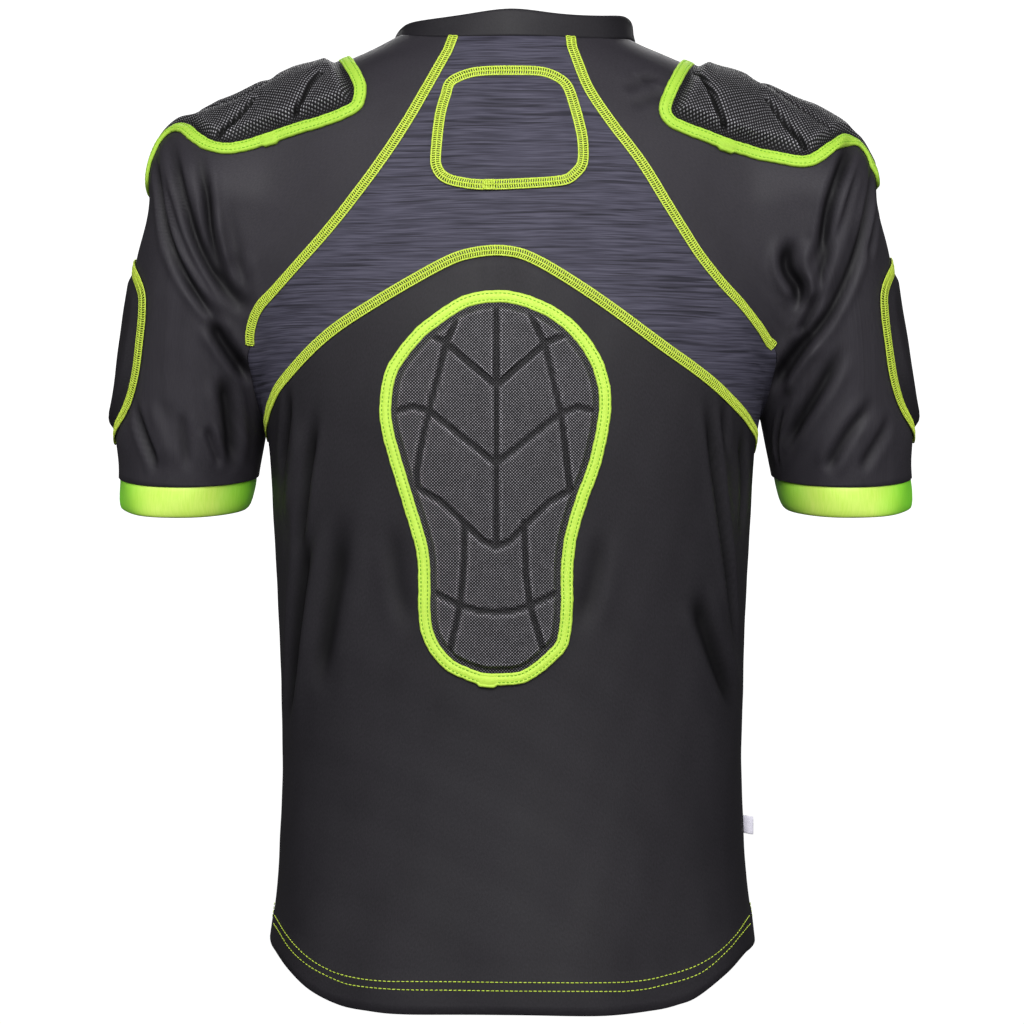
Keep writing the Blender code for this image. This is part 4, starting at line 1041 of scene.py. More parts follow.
def pad_piece(name, outline, mid, lay, height, scale, rings, mat, relief_shading=None):
    """A pad in rings from its outline to a line along its middle; height gives the top over the cloth in
    metres at chart points, and scale turns the chart into metres for the cover's pattern."""
    m = len(outline)
    a, b = np.array(mid[0], float), np.array(mid[1], float)
    d = b - a
    t = np.clip(((outline - a) @ d) / (d @ d), 0, 1)
    target = a + t[:, None] * d
    shares = np.concatenate((np.linspace(0, 0.30, rings // 2, endpoint=False), np.linspace(0.30, 0.985, rings - rings // 2)))
    low = np.array((0.0, 0.4, 0.985))
    top_flat = [outline + (target - outline) * s for s in shares]
    low_flat = [outline + (target - outline) * s for s in low]
    flat = np.vstack(top_flat + low_flat)
    base = lay(flat)
    n = normal(base)
    k, kl = len(shares), len(low)
    lift = np.concatenate((height(flat[:k * m]), np.full(kl * m, 0.0003)))
    verts = base + n * (disp(base) + lift)[:, None]
    uv = flat * scale
    faces = []
    idx = lambda r, j: r * m + (j % m)
    j = np.arange(m)
    for r in range(k - 1):
        faces.append(np.stack((idx(r, j), idx(r, j + 1), idx(r + 1, j + 1), idx(r + 1, j)), -1))
    faces.append(np.stack((idx(0, j + 1), idx(0, j), idx(k, j), idx(k, j + 1)), -1))
    for r in range(k, k + kl - 1):
        faces.append(np.stack((idx(r, j), idx(r + 1, j), idx(r + 1, j + 1), idx(r, j + 1)), -1))
    faces = np.vstack(faces).tolist()
    reach = (outline - a) @ d
    s, e = int(np.argmin(reach)), int(np.argmax(reach))
    one = [(s + q) % m for q in range((e - s) % m + 1)]
    two = [(s - q) % m for q in range((s - e) % m + 1)]
    i = q = 0
    while i < len(one) - 1 or q < len(two) - 1:
        ahead = i < len(one) - 1 and (q == len(two) - 1 or reach[one[i + 1]] <= reach[two[q + 1]])
        f = (one[i], one[i + 1], two[q]) if ahead else (one[i], two[q + 1], two[q])
        i, q = (i + 1, q) if ahead else (i, q + 1)
        if len(set(f)) == 3:
            faces.append([(k - 1) * m + w for w in f])
            faces.append([(k + kl - 1) * m + w for w in reversed(f)])
    first = np.array(faces[:m * (k - 1)])
    w = verts[first]
    turn = (np.cross(w[:, 2] - w[:, 0], w[:, 3] - w[:, 1]) * n[first[:, 0]]).sum() < 0
    if turn:
        faces = [f[::-1] for f in faces]
    uvs = np.vstack([uv[f] for f in faces])
    obj = build(name, verts, faces, uvs, mat)
    if relief_shading is not None:
        # masks of painted shade and painted highlight for the pad's material
        layer = obj.data.attributes.new("relief_shading", "FLOAT_COLOR", "POINT")
        deep, lip = relief_shading(flat)
        layer.data.foreach_set("color", np.stack((deep, lip, 0 * deep, 0 * deep + 1), -1).astype(float).ravel())
    return obj


BIND_PROFILE = ((-0.50, 0.0), (-0.49, 0.45), (-0.44, 0.80), (-0.36, 0.94), (-0.28, 0.86), (-0.22, 0.84), (-0.14, 0.97), (0.0, 1.0),
                (0.14, 0.97), (0.22, 0.84), (0.28, 0.86), (0.36, 0.94), (0.44, 0.80), (0.49, 0.45), (0.50, 0.0))


def binding(name, line, tab_at, mat, thread):
    """Binding with two stitched rows and the tab where its ends lap."""
    count = int(length_of(line, True) / 0.0022)
    line = settle(even(line, count, True), 2)
    t, n, side = frames(line, True)
    near = int(np.argmin(np.linalg.norm(line - tab_at, axis=1)))
    run = np.concatenate(([0], np.cumsum(np.linalg.norm(np.diff(line, axis=0), axis=1))))
    total = length_of(line, True)
    away = (run - run[near] + total / 2) % total - total / 2
    lap = soft_step(away, -0.0052, -0.0045) * (1 - soft_step(away, 0.0050, 0.0060))
    centre = line.mean(0)
    out = np.sign(((line - centre) * side).sum())
    grid = []
    wob = 0.00022 * np.sin(run * 610 + 0.7) * np.sin(run * 233)
    for off, h in BIND_PROFILE:
        wide = off * BIND_W + wob + out * lap * (0.0016 if off * out > 0 else 0.0003)
        p = settle(line + side * wide[:, None], 2)
        grid.append(p + normal(p) * (disp(p) + 0.0004 + h * (BIND_H * 0.84 + 0.0007 * lap))[:, None])
    g = np.array(grid)
    k, m = g.shape[:2]
    verts = g.reshape(-1, 3)
    j = np.arange(m)
    faces, uvs = [], []
    seg = np.concatenate((run, [total]))
    for i in range(k):
        i2 = (i + 1) % k
        faces.append(np.stack((i * m + j, i * m + (j + 1) % m, i2 * m + (j + 1) % m, i2 * m + j), -1))
        v0, v1 = BIND_PROFILE[i][0] * BIND_W, BIND_PROFILE[i2][0] * BIND_W
        uvs.append(np.stack((np.stack((seg[:-1], 0 * j + v0), -1), np.stack((seg[1:], 0 * j + v0), -1),
                             np.stack((seg[1:], 0 * j + v1), -1), np.stack((seg[:-1], 0 * j + v1), -1)), 1))
    faces, uvs = np.vstack(faces), np.vstack(uvs)
    mid = (k // 2) * m
    q = verts[faces[mid:mid + m]]
    if (np.cross(q[:, 2] - q[:, 0], q[:, 3] - q[:, 1]) * n).sum() < 0:
        faces, uvs = faces[:, ::-1], uvs[:, ::-1]
    obj = build(name, verts, faces.tolist(), uvs, mat)
    bits = []
    for off in (-0.25, 0.25):
        c = int(total / 0.0029)
        p = settle(even(line, c, True), 2)
        tt, nn, ss = frames(p, True)
        bits.append(stitches(raised(p, ss, np.full(c, off * BIND_W), 0.0004 + BIND_H * 0.84 * 0.84), tt, nn, 0.0010, 0.00044, 5))
    rows = joined(name + "_stitch", bits, thread)
    return obj, rows, total


# ---------------------------------------------------------------- materials
class Nodes:
    """A material with its node tree and short ways to add to it."""

    def __init__(self, name, colour, rough, spec=0.5, sheen=0.0, sheen_rough=0.5, tint=(1, 1, 1)):
        self.mat = bpy.data.materials.new(name)
        self.mat.use_nodes = True
        self.mat.diffuse_color = (*colour, 1)
        self.tree = self.mat.node_tree
        self.bsdf = self.tree.nodes["Principled BSDF"]
        for key, val in (("Base Color", (*colour, 1)), ("Roughness", rough), ("Specular IOR Level", spec), ("Sheen Weight", sheen),
                         ("Sheen Roughness", sheen_rough), ("Sheen Tint", (*tint, 1))):
            self.bsdf.inputs[key].default_value = val

    def add(self, kind, links=(), **sets):
        node = self.tree.nodes.new(kind)
        for key, val in sets.items():
            if hasattr(node, key):
                setattr(node, key, val)
            else:
                node.inputs[key.replace("_", " ")].default_value = val
        for socket, source in links:
            self.tree.links.new(source, node.inputs[socket])
        return node

    def coords(self, kind="UV", scale=(1, 1, 1), turn=0.0):
        c = self.add("ShaderNodeTexCoord")
        m = self.add("ShaderNodeMapping", [("Vector", c.outputs[kind])])
        m.inputs["Scale"].default_value = scale
        m.inputs["Rotation"].default_value = (0, 0, turn)
        return m.outputs["Vector"]

    def noise(self, at, scale, detail=2.0, rough=0.5):
        n = self.add("ShaderNodeTexNoise", [("Vector", at)])
        n.inputs["Scale"].default_value = scale
        n.inputs["Detail"].default_value = detail
        n.inputs["Roughness"].default_value = rough
        return n.outputs["Fac"]

    def ramp(self, fac, stops):
        r = self.add("ShaderNodeValToRGB", [("Fac", fac)])
        e = r.color_ramp.elements
        while len(e) < len(stops):
            e.new(0.5)
        for el, (pos, col) in zip(e, stops):
            el.position = pos
            el.color = (*col, 1) if hasattr(col, "__len__") else (col, col, col, 1)
        return r.outputs["Color"]

    def math(self, op, a, b):
        m = self.add("ShaderNodeMath", operation=op)
        for i, v in enumerate((a, b)):
            if hasattr(v, "is_output"):
                self.tree.links.new(v, m.inputs[i])
            else:
                m.inputs[i].default_value = v
        return m.outputs[0]

    def mix(self, fac, a, b, kind="MIX"):
        m = self.add("ShaderNodeMix", data_type="RGBA", blend_type=kind)
        for key, v in (("Factor", fac), ("A", a), ("B", b)):
            s = [i for i in m.inputs if i.name == key and i.type == ("VALUE" if key == "Factor" else "RGBA")][0]
            if hasattr(v, "is_output"):
                self.tree.links.new(v, s)
            else:
                s.default_value = v
        return [o for o in m.outputs if o.type == "RGBA"][0]

    def colour(self, out):
        self.tree.links.new(out, self.bsdf.inputs["Base Color"])

    def rough(self, out):
        self.tree.links.new(out, self.bsdf.inputs["Roughness"])

    def bump(self, height, strength, distance):
        b = self.add("ShaderNodeBump", [("Height", height)])
        b.inputs["Strength"].default_value = strength
        b.inputs["Distance"].default_value = distance
        self.tree.links.new(b.outputs["Normal"], self.bsdf.inputs["Normal"])


def black_cloth(name, gain):
    """Smooth black stretch knit: fine columns of loops, a soft sheen and slight unevenness, with painted shade
    darkening the colour in the folds.
    """
    m = Nodes(name, tuple(gain * q for q in (0.041, 0.038, 0.046)), 0.60, 0.20, 0.0)
    grain = m.noise(m.coords("UV", (900, 480, 1)), 1.0, 3.0, 0.65)
    slow = m.noise(m.coords("UV", (26, 14, 1)), 1.0, 3.0)
    tone = m.mix(0.30, grain, slow)
    stops = ((0.30, (0.0265, 0.0240, 0.0300)), (0.52, (0.0405, 0.0370, 0.0458)), (0.74, (0.0575, 0.0530, 0.0640)))
    # painted shade: the crease mask darkens the colour down to about a quarter in the deepest folds
    shading_attr = m.add("ShaderNodeAttribute", attribute_name="crease")
    keep = m.ramp(m.add("ShaderNodeSeparateColor", [("Color", shading_attr.outputs["Color"])]).outputs["Red"], ((0.0, 1.0), (1.0, 0.26)))
    m.colour(m.mix(1.0, m.ramp(tone, [(at, tuple(gain * q for q in c)) for at, c in stops]), keep, "MULTIPLY"))
    m.rough(m.ramp(slow, ((0.3, 0.52), (0.7, 0.64))))
    m.bump(grain, 0.16, 0.0003)
    return m.mat


def slate_cloth():
    """Slate-navy melange: fine dark and pale streaks along the rows of the knit."""
    m = Nodes("slate_melange", (0.060, 0.057, 0.082), 0.70, 0.16, 0.0)
    bend = m.noise(m.coords("Object", (9, 9, 9)), 1.0, 1.0)
    c = m.add("ShaderNodeTexCoord")
    wave = m.math("MULTIPLY", m.math("SUBTRACT", bend, 0.5), 0.006)
    shift = m.add("ShaderNodeCombineXYZ")
    m.tree.links.new(wave, shift.inputs["Z"])
    moved = m.add("ShaderNodeVectorMath", [(0, c.outputs["Object"]), (1, shift.outputs[0])], operation="ADD")

    def streak(scale, detail, rough):
        at = m.add("ShaderNodeMapping", [("Vector", moved.outputs[0])])
        at.inputs["Scale"].default_value = scale
        return m.noise(at.outputs["Vector"], 1.0, detail, rough)
    fine = streak((32, 32, 1050), 2.0, 0.55)
    mid = streak((17, 17, 620), 2.0, 0.5)
    pale = m.ramp(fine, ((0.32, (0.031, 0.0295, 0.0440)), (0.50, (0.0510, 0.0485, 0.0710)), (0.68, (0.0750, 0.0715, 0.1020))))
    dark = m.ramp(mid, ((0.33, 0.45), (0.46, 1.0), (0.62, 1.05)))
    m.colour(m.mix(1.0, pale, dark, "MULTIPLY"))
    m.bump(fine, 0.22, 0.0003)
    return m.mat


def pad_mesh(name, pitch, dark, light, turn, deepest, plain):
    """Dotted mesh over foam: rows of raised pale knit dots with dark holes between them, darkened in the channels as
    painted shade and brightened along their lips as painted highlight.
    """
    m = Nodes(name, (0.045, 0.043, 0.050), 0.50, 0.22)
    at = m.coords("UV", (1 / pitch, 1 / pitch, 1), turn)
    v = m.add("ShaderNodeTexVoronoi", [("Vector", at)], voronoi_dimensions="2D", feature="F1")
    v.inputs["Scale"].default_value = 1.0
    v.inputs["Randomness"].default_value = 0.0
    dot = m.ramp(v.outputs["Distance"], ((0.13, 1.0), (0.34, 0.0)))
    vary = m.noise(m.coords("UV", (120, 120, 1)), 1.0, 2.0)
    pale = m.ramp(vary, ((0.3, tuple(0.75 * q for q in light)), (0.7, light)))
    shading_attr = m.add("ShaderNodeAttribute", attribute_name="relief_shading")
    parts = m.add("ShaderNodeSeparateColor", [("Color", shading_attr.outputs["Color"])])
    # painted shade: the red of the mask darkens the mesh in the channels and slits, down to deepest
    keep = m.ramp(parts.outputs["Red"], ((0.0, 1.0), (1.0, deepest)))
    # painted highlight: the green of the mask keeps the dots brightest along the channels' lips and the pad's raised
    # edge; elsewhere they are dimmed to plain
    lip = m.ramp(parts.outputs["Green"], ((0.0, plain), (1.0, 1.0)))
    lit = m.mix(1.0, pale, lip, "MULTIPLY")
    m.colour(m.mix(1.0, m.mix(dot, (*dark, 1), lit), keep, "MULTIPLY"))
    m.rough(m.ramp(dot, ((0.0, 0.75), (1.0, 0.42))))
    m.bump(dot, 0.7, 0.0005)
    return m.mat


def lime_band(name, low, high, rough, spec, weave):
    """Lime binding tape: fine diagonal rib with slight changes of tone."""
    m = Nodes(name, high, rough, spec, 0.15, 0.4, (0.55, 0.9, 0.1))
    at = m.coords("UV", (1, 1, 1), 0.6)
    w = m.add("ShaderNodeTexWave", [("Vector", at)], wave_type="BANDS")
    w.inputs["Scale"].default_value = weave
    w.inputs["Distortion"].default_value = 1.6
    w.inputs["Detail"].default_value = 1.0
    vary = m.noise(m.coords("UV", (420, 420, 1)), 1.0, 2.0)
    tone = m.mix(0.5, w.outputs["Fac"], vary)
    m.colour(m.ramp(tone, ((0.25, low), (0.7, high))))
    m.bump(tone, 0.30, 0.0003)
    return m.mat


def lime_thread(name, low, high):
    m = Nodes(name, high, 0.55, 0.35, 0.2, 0.4, (0.7, 0.9, 0.2))
    vary = m.noise(m.coords("Object", (900, 900, 900)), 1.0, 2.0)
    m.colour(m.ramp(vary, ((0.30, low), (0.62, high))))
    m.bump(vary, 0.4, 0.0002)
    return m.mat


def satin_lime():
    """Cuff band: satin lime with fine upright ribs, with a painted highlight: pale yellow-lime across the middle of
    each cuff and deeper green towards its inner and outer ends as painted shade.
    """
    m = Nodes("lime_satin", (0.60, 0.90, 0.10), 0.40, 0.45, 0.25, 0.35, (0.25, 0.8, 0.05))
    rib = m.noise(m.coords("UV", (900, 90, 1)), 1.0, 2.0)
    slow = m.noise(m.coords("UV", (30, 40, 1)), 1.0, 2.0)
    tone = m.mix(0.5, rib, slow)
    # painted highlight and shade: the colour goes from pale yellow-lime in the middle of each cuff to deeper green at
    # its ends, by distance across from the cuff's middle
    c = m.add("ShaderNodeSeparateXYZ", [("Vector", m.add("ShaderNodeTexCoord").outputs["Object"])])
    off = m.math("ABSOLUTE", m.math("SUBTRACT", m.math("ABSOLUTE", c.outputs["X"], 0.0), 0.2365), 0.0)
    ends = m.ramp(m.math("MULTIPLY", m.math("ADD", off, m.math("MULTIPLY", m.math("SUBTRACT", slow, 0.5), 0.016)), 20.0),
                  ((0.44, 0.0), (0.98, 1.0)))
    pale = m.ramp(tone, ((0.28, (0.56, 0.90, 0.078)), (0.72, (0.75, 0.98, 0.205))))
    deep = m.ramp(tone, ((0.28, (0.22, 0.90, 0.022)), (0.72, (0.32, 1.0, 0.042))))
    m.colour(m.mix(ends, pale, deep))
    m.rough(m.ramp(slow, ((0.3, 0.34), (0.7, 0.46))))
    m.bump(rib, 0.10, 0.0003)
    return m.mat


def label_cloth():
    m = Nodes("blank_tab", (0.74, 0.72, 0.82), 0.6, 0.3)
    at = m.coords("UV", (1, 1, 1))
    w = m.noise(m.coords("UV", (2600, 900, 1)), 1.0, 2.0)
    m.colour(m.ramp(w, ((0.3, (0.62, 0.60, 0.70)), (0.7, (0.80, 0.78, 0.87)))))
    m.bump(w, 0.25, 0.0002)
    return m.mat


# ---------------------------------------------------------------- pattern tables
RUNG = 0.00165          # step of the flat overlock's rungs
RAGLAN_STOP = {-1: (251, 344), 1: (771, 348)}      # on the back view, where the sleeve's fold covers the seam
RAGLAN_STOP_FRONT = -0.222
SEAM_W = 0.0064         # between its edge cords
SLEEVE_OVAL = ((0.0, 0), (0.02, 15), (0.06, 28), (0.12, 37), (0.20, 40), (0.36, 40.5), (0.60, 38), (0.78, 30), (0.92, 16), (1.0, 0))
HEM_ROWS = (
    ((274, 915.6), (288, 936), (309, 957), (332, 971), (355, 977.6), (383.5, 981), (419, 981.6), (512, 982.4), (600, 982.7),
     (640, 981), (669, 975), (695, 966), (715, 953.5), (732, 937), (748, 916)),
    ((273, 923.6), (292, 950), (313.5, 968), (339, 981), (355, 985.4), (383.5, 988.5), (419, 990), (512, 991), (600, 991.4),
     (629, 991), (657, 987), (698, 974), (725, 951), (738, 936), (749, 924)),
)
# back pad channels on the back view: column, row
BACK_GROOVES = (
    ((496.5, 305), (496.5, 541)),
    ((430, 334), (447, 344), (496.5, 386), (545, 344), (564, 335)),
    ((398, 411), (414, 406.5), (431, 411), (496.5, 463), (560, 413), (577, 407), (594, 411)),
    ((422, 489), (443, 501), (466, 523), (484, 540), (496.5, 546), (510, 540), (526, 523), (549, 501), (571, 489)),
    ((456, 322), (447, 344), (431, 408), (422, 449), (418, 472), (419, 487)),
    ((530, 314), (545, 346), (560, 413), (569, 486)),
    ((465, 522), (465, 560), (461, 604), (450, 654)),
    ((524, 522), (526, 576), (530, 605), (544, 654)),
    ((437, 592), (459, 604), (480, 610), (496.5, 611.5), (513, 610), (530, 605), (554, 593)),
)
# shoulder pad channels: mm along the shoulder, mm off its line (back is negative); the front ones mirror the back
SHOULDER_GROOVES = {
    -1: (((60, -42), (79, -59), (97, -70)), ((112, -35), (131, -44), (152, -53)), ((86, -14), (108, -20), (130, -18), (156, 0))),
    1: (((47, -38), (69, -66), (92, -84)), ((102, -38), (120, -48), (144, -64)), ((92, -10), (124, -26), (158, -36))),
}
SHOULDER_DIPS = {-1: (95, 156), 1: (90, 168)}      # mm along: low places between the lobes on the shoulder line
TABS = {"back": (488, 687), -1: (272, 145), 1: (726, 152)}


def back_height(outline):
    """Height of the back pad, and masks of painted shade in its channels and of painted highlight along their lips and
    the raised edge.
    """
    edge = [np.vstack((outline, outline[:1]))]
    lines = [np.array(g, float) for g in BACK_GROOVES]

    def near(q):
        return to_lines(q, edge) * PX * 1000, to_lines(q, lines) * PX * 1000

    def height(q):
        d, g = near(q)
        h = 2.2 * soft_step(d, -0.6, 1.2) + 4.3 * soft_step(d, 3.6, 7.2) + 1.6 * soft_step(d, 8, 45)
        cut = 1 - soft_step(g, 1.6, 3.0)
        return 0.001 * (h - 2.7 * cut * soft_step(d, 3.0, 7.0))

    def relief_shading(q):
        d, g = near(q)
        inside = soft_step(d, 3.0, 6.0)
        # painted shade in the channels and darker along the outline; painted highlight beside the channels and on the
        # raised edge
        deep = np.maximum((1 - soft_step(g, 1.5, 2.7)) * inside, 0.55 * (1 - inside))
        lip = np.exp(-((g - 3.3) / 0.75) ** 2) * inside + 0.7 * np.exp(-((d - 7.0) / 0.9) ** 2)
        return deep, np.clip(lip * (1 - deep), 0, 1)
    return height, relief_shading


def shoulder_height(outline, side):
    edge = [np.vstack((outline, outline[:1]))]
    lines = [curve(g, 24) for g in SHOULDER_GROOVES[side]]
    lines += [g * np.array((1, -1)) for g in lines]
    slits, faint = [lines[k] for k in (0, 1, 3, 4)], [lines[k] for k in (2, 5)]
    dips = SHOULDER_DIPS[side]

    def height(q):
        d, g, f = to_lines(q, edge), to_lines(q, slits), to_lines(q, faint)
        fade = np.interp(q[:, 0], *SHOULDER_PAD_FADE)
        h = 2.2 * soft_step(d, -0.8, 1.4) + fade * (6.4 * soft_step(d, 3.4, 10.5) + 2.6 * soft_step(d, 9, 34))
        cut = 0.68 * (1 - soft_step(g, 0.9, 2.9)) + 0.32 * (1 - soft_step(g, 1.0, 11.0))
        cut = np.maximum(cut, 0.30 * (1 - soft_step(f, 0.6, 3.0)) + 0.22 * (1 - soft_step(f, 1.0, 12.0)))
        dip = sum(np.exp(-((q[:, 0] - s) / 5.0) ** 2) for s in dips) * np.exp(-((q[:, 1] - 8) / 22) ** 2)
        return 0.001 * (h - fade * (6.0 * cut * soft_step(d, 3.5, 9) + 2.6 * dip))

    # masks of painted shade in the slits and darker along the outline, and of painted highlight beside the slits and on
    # the raised edge
    def relief_shading(q):
        d, g, f = to_lines(q, edge), to_lines(q, slits), to_lines(q, faint)
        inside = soft_step(d, 3.0, 7.0)
        slit = np.maximum(1 - soft_step(g, 1.4, 2.9), 0.6 * (1 - soft_step(f, 0.6, 2.2)))
        deep = np.maximum(slit * inside, 0.8 * (1 - inside))
        lip = 0.8 * np.exp(-((g - 4.4) / 1.8) ** 2) * inside + 0.8 * np.exp(-((d - 9.5) / 2.6) ** 2)
        return deep, np.clip(lip * (1 - deep), 0, 1)
    return height, relief_shading


def swell(outline, edge_h, top, reach, scale):
    edge = [np.vstack((outline, outline[:1])) * scale]

    def height(q):
        d = to_lines(q * scale, edge)
        return edge_h * soft_step(d, -0.0008, 0.0010) + (top - edge_h) * soft_step(d, 0.0026, reach)
    return height


def sleeve_oval(count):
    """Outline of a sleeve pad: share along the arm, degrees from its outer line."""
    top, foot = SLEEVE_PAD_SIZE[0] + 0.016, SLEEVE_PAD_SIZE[1] + 0.022
    rows = np.array(SLEEVE_OVAL, float)
    share = top + rows[:, 0] * (foot - top)
    back = np.stack((share, -rows[:, 1]), -1)
    fore = np.stack((share, rows[:, 1]), -1)[::-1][1:-1]
    metres = np.array((0.20, 0.055 * math.pi / 180))
    return fair(even(curve(np.vstack((back, fore)) * metres, 700, True), count, True), 6) / metres


def sleeve_height(outline, scale):
    edge = [np.vstack((outline, outline[:1])) * scale]
    top, foot = SLEEVE_PAD_SIZE[:2]

    def height(q):
        d = to_lines(q * scale, edge)
        share = (q[:, 0] - top) / (foot - top)
        full = 0.0026 + 0.0042 * soft_step(share, 0.0, 0.85)
        return 0.0010 * soft_step(d, -0.0008, 0.0010) + full * soft_step(d, 0.0028, 0.0135)
    return height


# ---------------------------------------------------------------- build
def main():
    # painted light and shade: the sleeves get a brighter copy of the same black knit and the neck band a darker copy,
    # standing in for how the light falls on them
    black, slate = black_cloth("black_knit", 0.40), slate_cloth()
    sleeve_black_lit, band_black_shaded = black_cloth("black_knit_sleeve_lit", 0.66), black_cloth("black_knit_band_shaded", 0.35)
    fine_mesh = pad_mesh("fine_pad_mesh", 0.00158, (0.0095, 0.0090, 0.0108), (0.80, 0.77, 0.83), math.pi / 4, 0.34, 0.46)
    wide_mesh = pad_mesh("wide_pad_mesh", 0.00205, (0.0070, 0.0067, 0.0078), (0.42, 0.41, 0.44), math.pi / 4, 0.03, 0.56)
    tape = lime_band("lime_tape", (0.42, 0.70, 0.048), (0.60, 0.82, 0.115), 0.55, 0.28, 900)
    # painted shade: the shoulder bindings get a darker copy of the same lime tape
    tape_shaded = lime_band("lime_tape_shoulder_shaded", (0.31, 0.57, 0.034), (0.43, 0.66, 0.078), 0.60, 0.22, 900)
    dark_thread = lime_thread("lime_thread_deep", (0.10, 0.30, 0.008), (0.20, 0.46, 0.015))
    thread = lime_thread("lime_thread", (0.40, 0.55, 0.025), (0.58, 0.73, 0.085))
    satin, tab = satin_lime(), label_cloth()
    cuts = {}
    pieces = {}

    def keep(name, made, slot):
        obj, cut = made
        pieces[name], cuts[name] = obj, cut
        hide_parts(name)

    # cloth panels
    rough = seam_lines(1)
    steps = {k: seam_lines(k) for k in (6, 10)}
    fine = steps[10]

    def side_edge(s, parts):
        return np.vstack([s[parts[0]]] + [s[q][1:] for q in parts[1:]])

    def hem_turn(g):
        """The hem's turned-up layer, a little thicker below the second row of stitches."""
        return 0.00045 * soft_step(-hem_gap(g), -0.0262, -0.0236)

    def hem_gap(g):
        flat = g.reshape(-1, 3)
        z = np.interp(flat[:, 0], fine["hem_back"][:, 0], fine["hem_back"][:, 2])
        return (flat[:, 2] - z).reshape(g.shape[:-1])

    def panel(name, k, top, bottom, left, right, mat, slot, step=None, times=220):
        at = steps[k]
        c = relax(coons(rough[top], rough[bottom], side_edge(rough, left), side_edge(rough, right)), times=times)
        g = finer(c, k, k, at[top], at[bottom], side_edge(at, left), side_edge(at, right))
        keep(name, cloth(name + "_cloth", g, False, mat, step), slot)

    panel("back_yoke", 6, "neck_back", "arch", ("backL", "bitL"), ("backR", "bitR"), slate, "cloth_slate")
    panel("back_lower", 10, "arch", "hem_back", ("sideL",), ("sideR",), black, "cloth_black", hem_turn)
    panel("front", 6, "neck_front", "hem_front", ("frontL", "bitL", "sideL"), ("frontR", "bitR", "sideR"), black, "cloth_black", hem_turn, 300)
    turns = sleeve_angles()
    turns = upsample(np.append(turns, turns[0] + (360.0 if turns[-1] > turns[0] else -360.0))[:, None], 10, 0)[:-1, 0]
    for side, word, key in ((-1, "left", "L"), (1, "right", "R")):
        c = sleeve_grid(rough, side)
        loop = np.vstack((fine["back" + key][::-1], fine["neck" + key][1:], fine["front" + key][1:-1]))
        cuff = settle(arm_point(side, np.ones(len(turns)), turns, True), 4)
        keep("sleeve_" + word, cloth("sleeve_%s_cloth" % word, finer(c, 10, 10, loop, cuff), True, sleeve_black_lit, skip=2), "cloth_black")
        # cuff band, folded at its lower edge
        arm = ARMS[side]
        rows_out, rows_in = [], []
        for share, pull in CUFF_ROWS:
            down = GAP + (CUFF_H - GAP) * share
            ring = arm_point(side, np.ones(len(turns)) + down / arm.length, turns, True)
            axis = (_top + (arm.length + down) * arm.down) * np.array((side, 1, 1))
            out = ring - axis
            out /= np.linalg.norm(out, axis=1, keepdims=True)
            a = np.radians(turns)
            uneven = 0.00050 * np.sin(3 * a + side) + 0.00035 * np.sin(7 * a + 2.0 * share) + share * 0.0004 * np.sin(5 * a + 0.6)
            low = disp(cuff) * (1 - share) ** 2
            rows_out.append(ring - out * (pull - uneven * min(1, 4 * share) - low)[:, None])
            rows_in.append(ring - out * (pull + 0.0016 - uneven * min(1, 4 * share) - low)[:, None])
        keep("cuff_" + word, wall("cuff_%s_band" % word, np.array(rows_out), np.array(rows_in), True, satin), "cuff_lime")

    # neck band
    loop = np.vstack((fine["neck_back"][:-1], fine["neckR"][:-1], fine["neck_front"][::-1][:-1], fine["neckL"][::-1][:-1]))
    mid = np.array((0.0, loop[:, 1].mean(), 0.0))
    flat = (loop - mid) * np.array((1, 1, 0))
    flat /= np.linalg.norm(flat, axis=1, keepdims=True)
    ang = np.degrees(np.arctan2(loop[:, 0], -loop[:, 1]))
    tall = table(COLLAR, 1, (1, 0.001))(ang)
    outer, inner = [], []
    for rise, lean in ((0.0, 0.0), (0.10, 0.0004), (0.30, 0.0012), (0.5, 0.0020), (0.7, 0.0026), (0.88, 0.0029), (1.0, 0.0031)):
        up = (GAP + rise * tall)[:, None] * np.array((0, 0, 1.0))
        soft = 0.0004 * np.sin(np.radians(ang) * 5 + 0.7) * rise
        outer.append(loop + up - flat * (lean + soft - disp(loop) * (1 - rise))[:, None])
        inner.append(loop + up - flat * (lean + 0.0015 + soft - disp(loop) * (1 - rise))[:, None])
    keep("collar", wall("collar_band", np.array(outer), np.array(inner), True, band_black_shaded), "cloth_black")

    # pads and bindings
    def keep_pad(name, obj):
        pieces[name] = obj
        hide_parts(name)

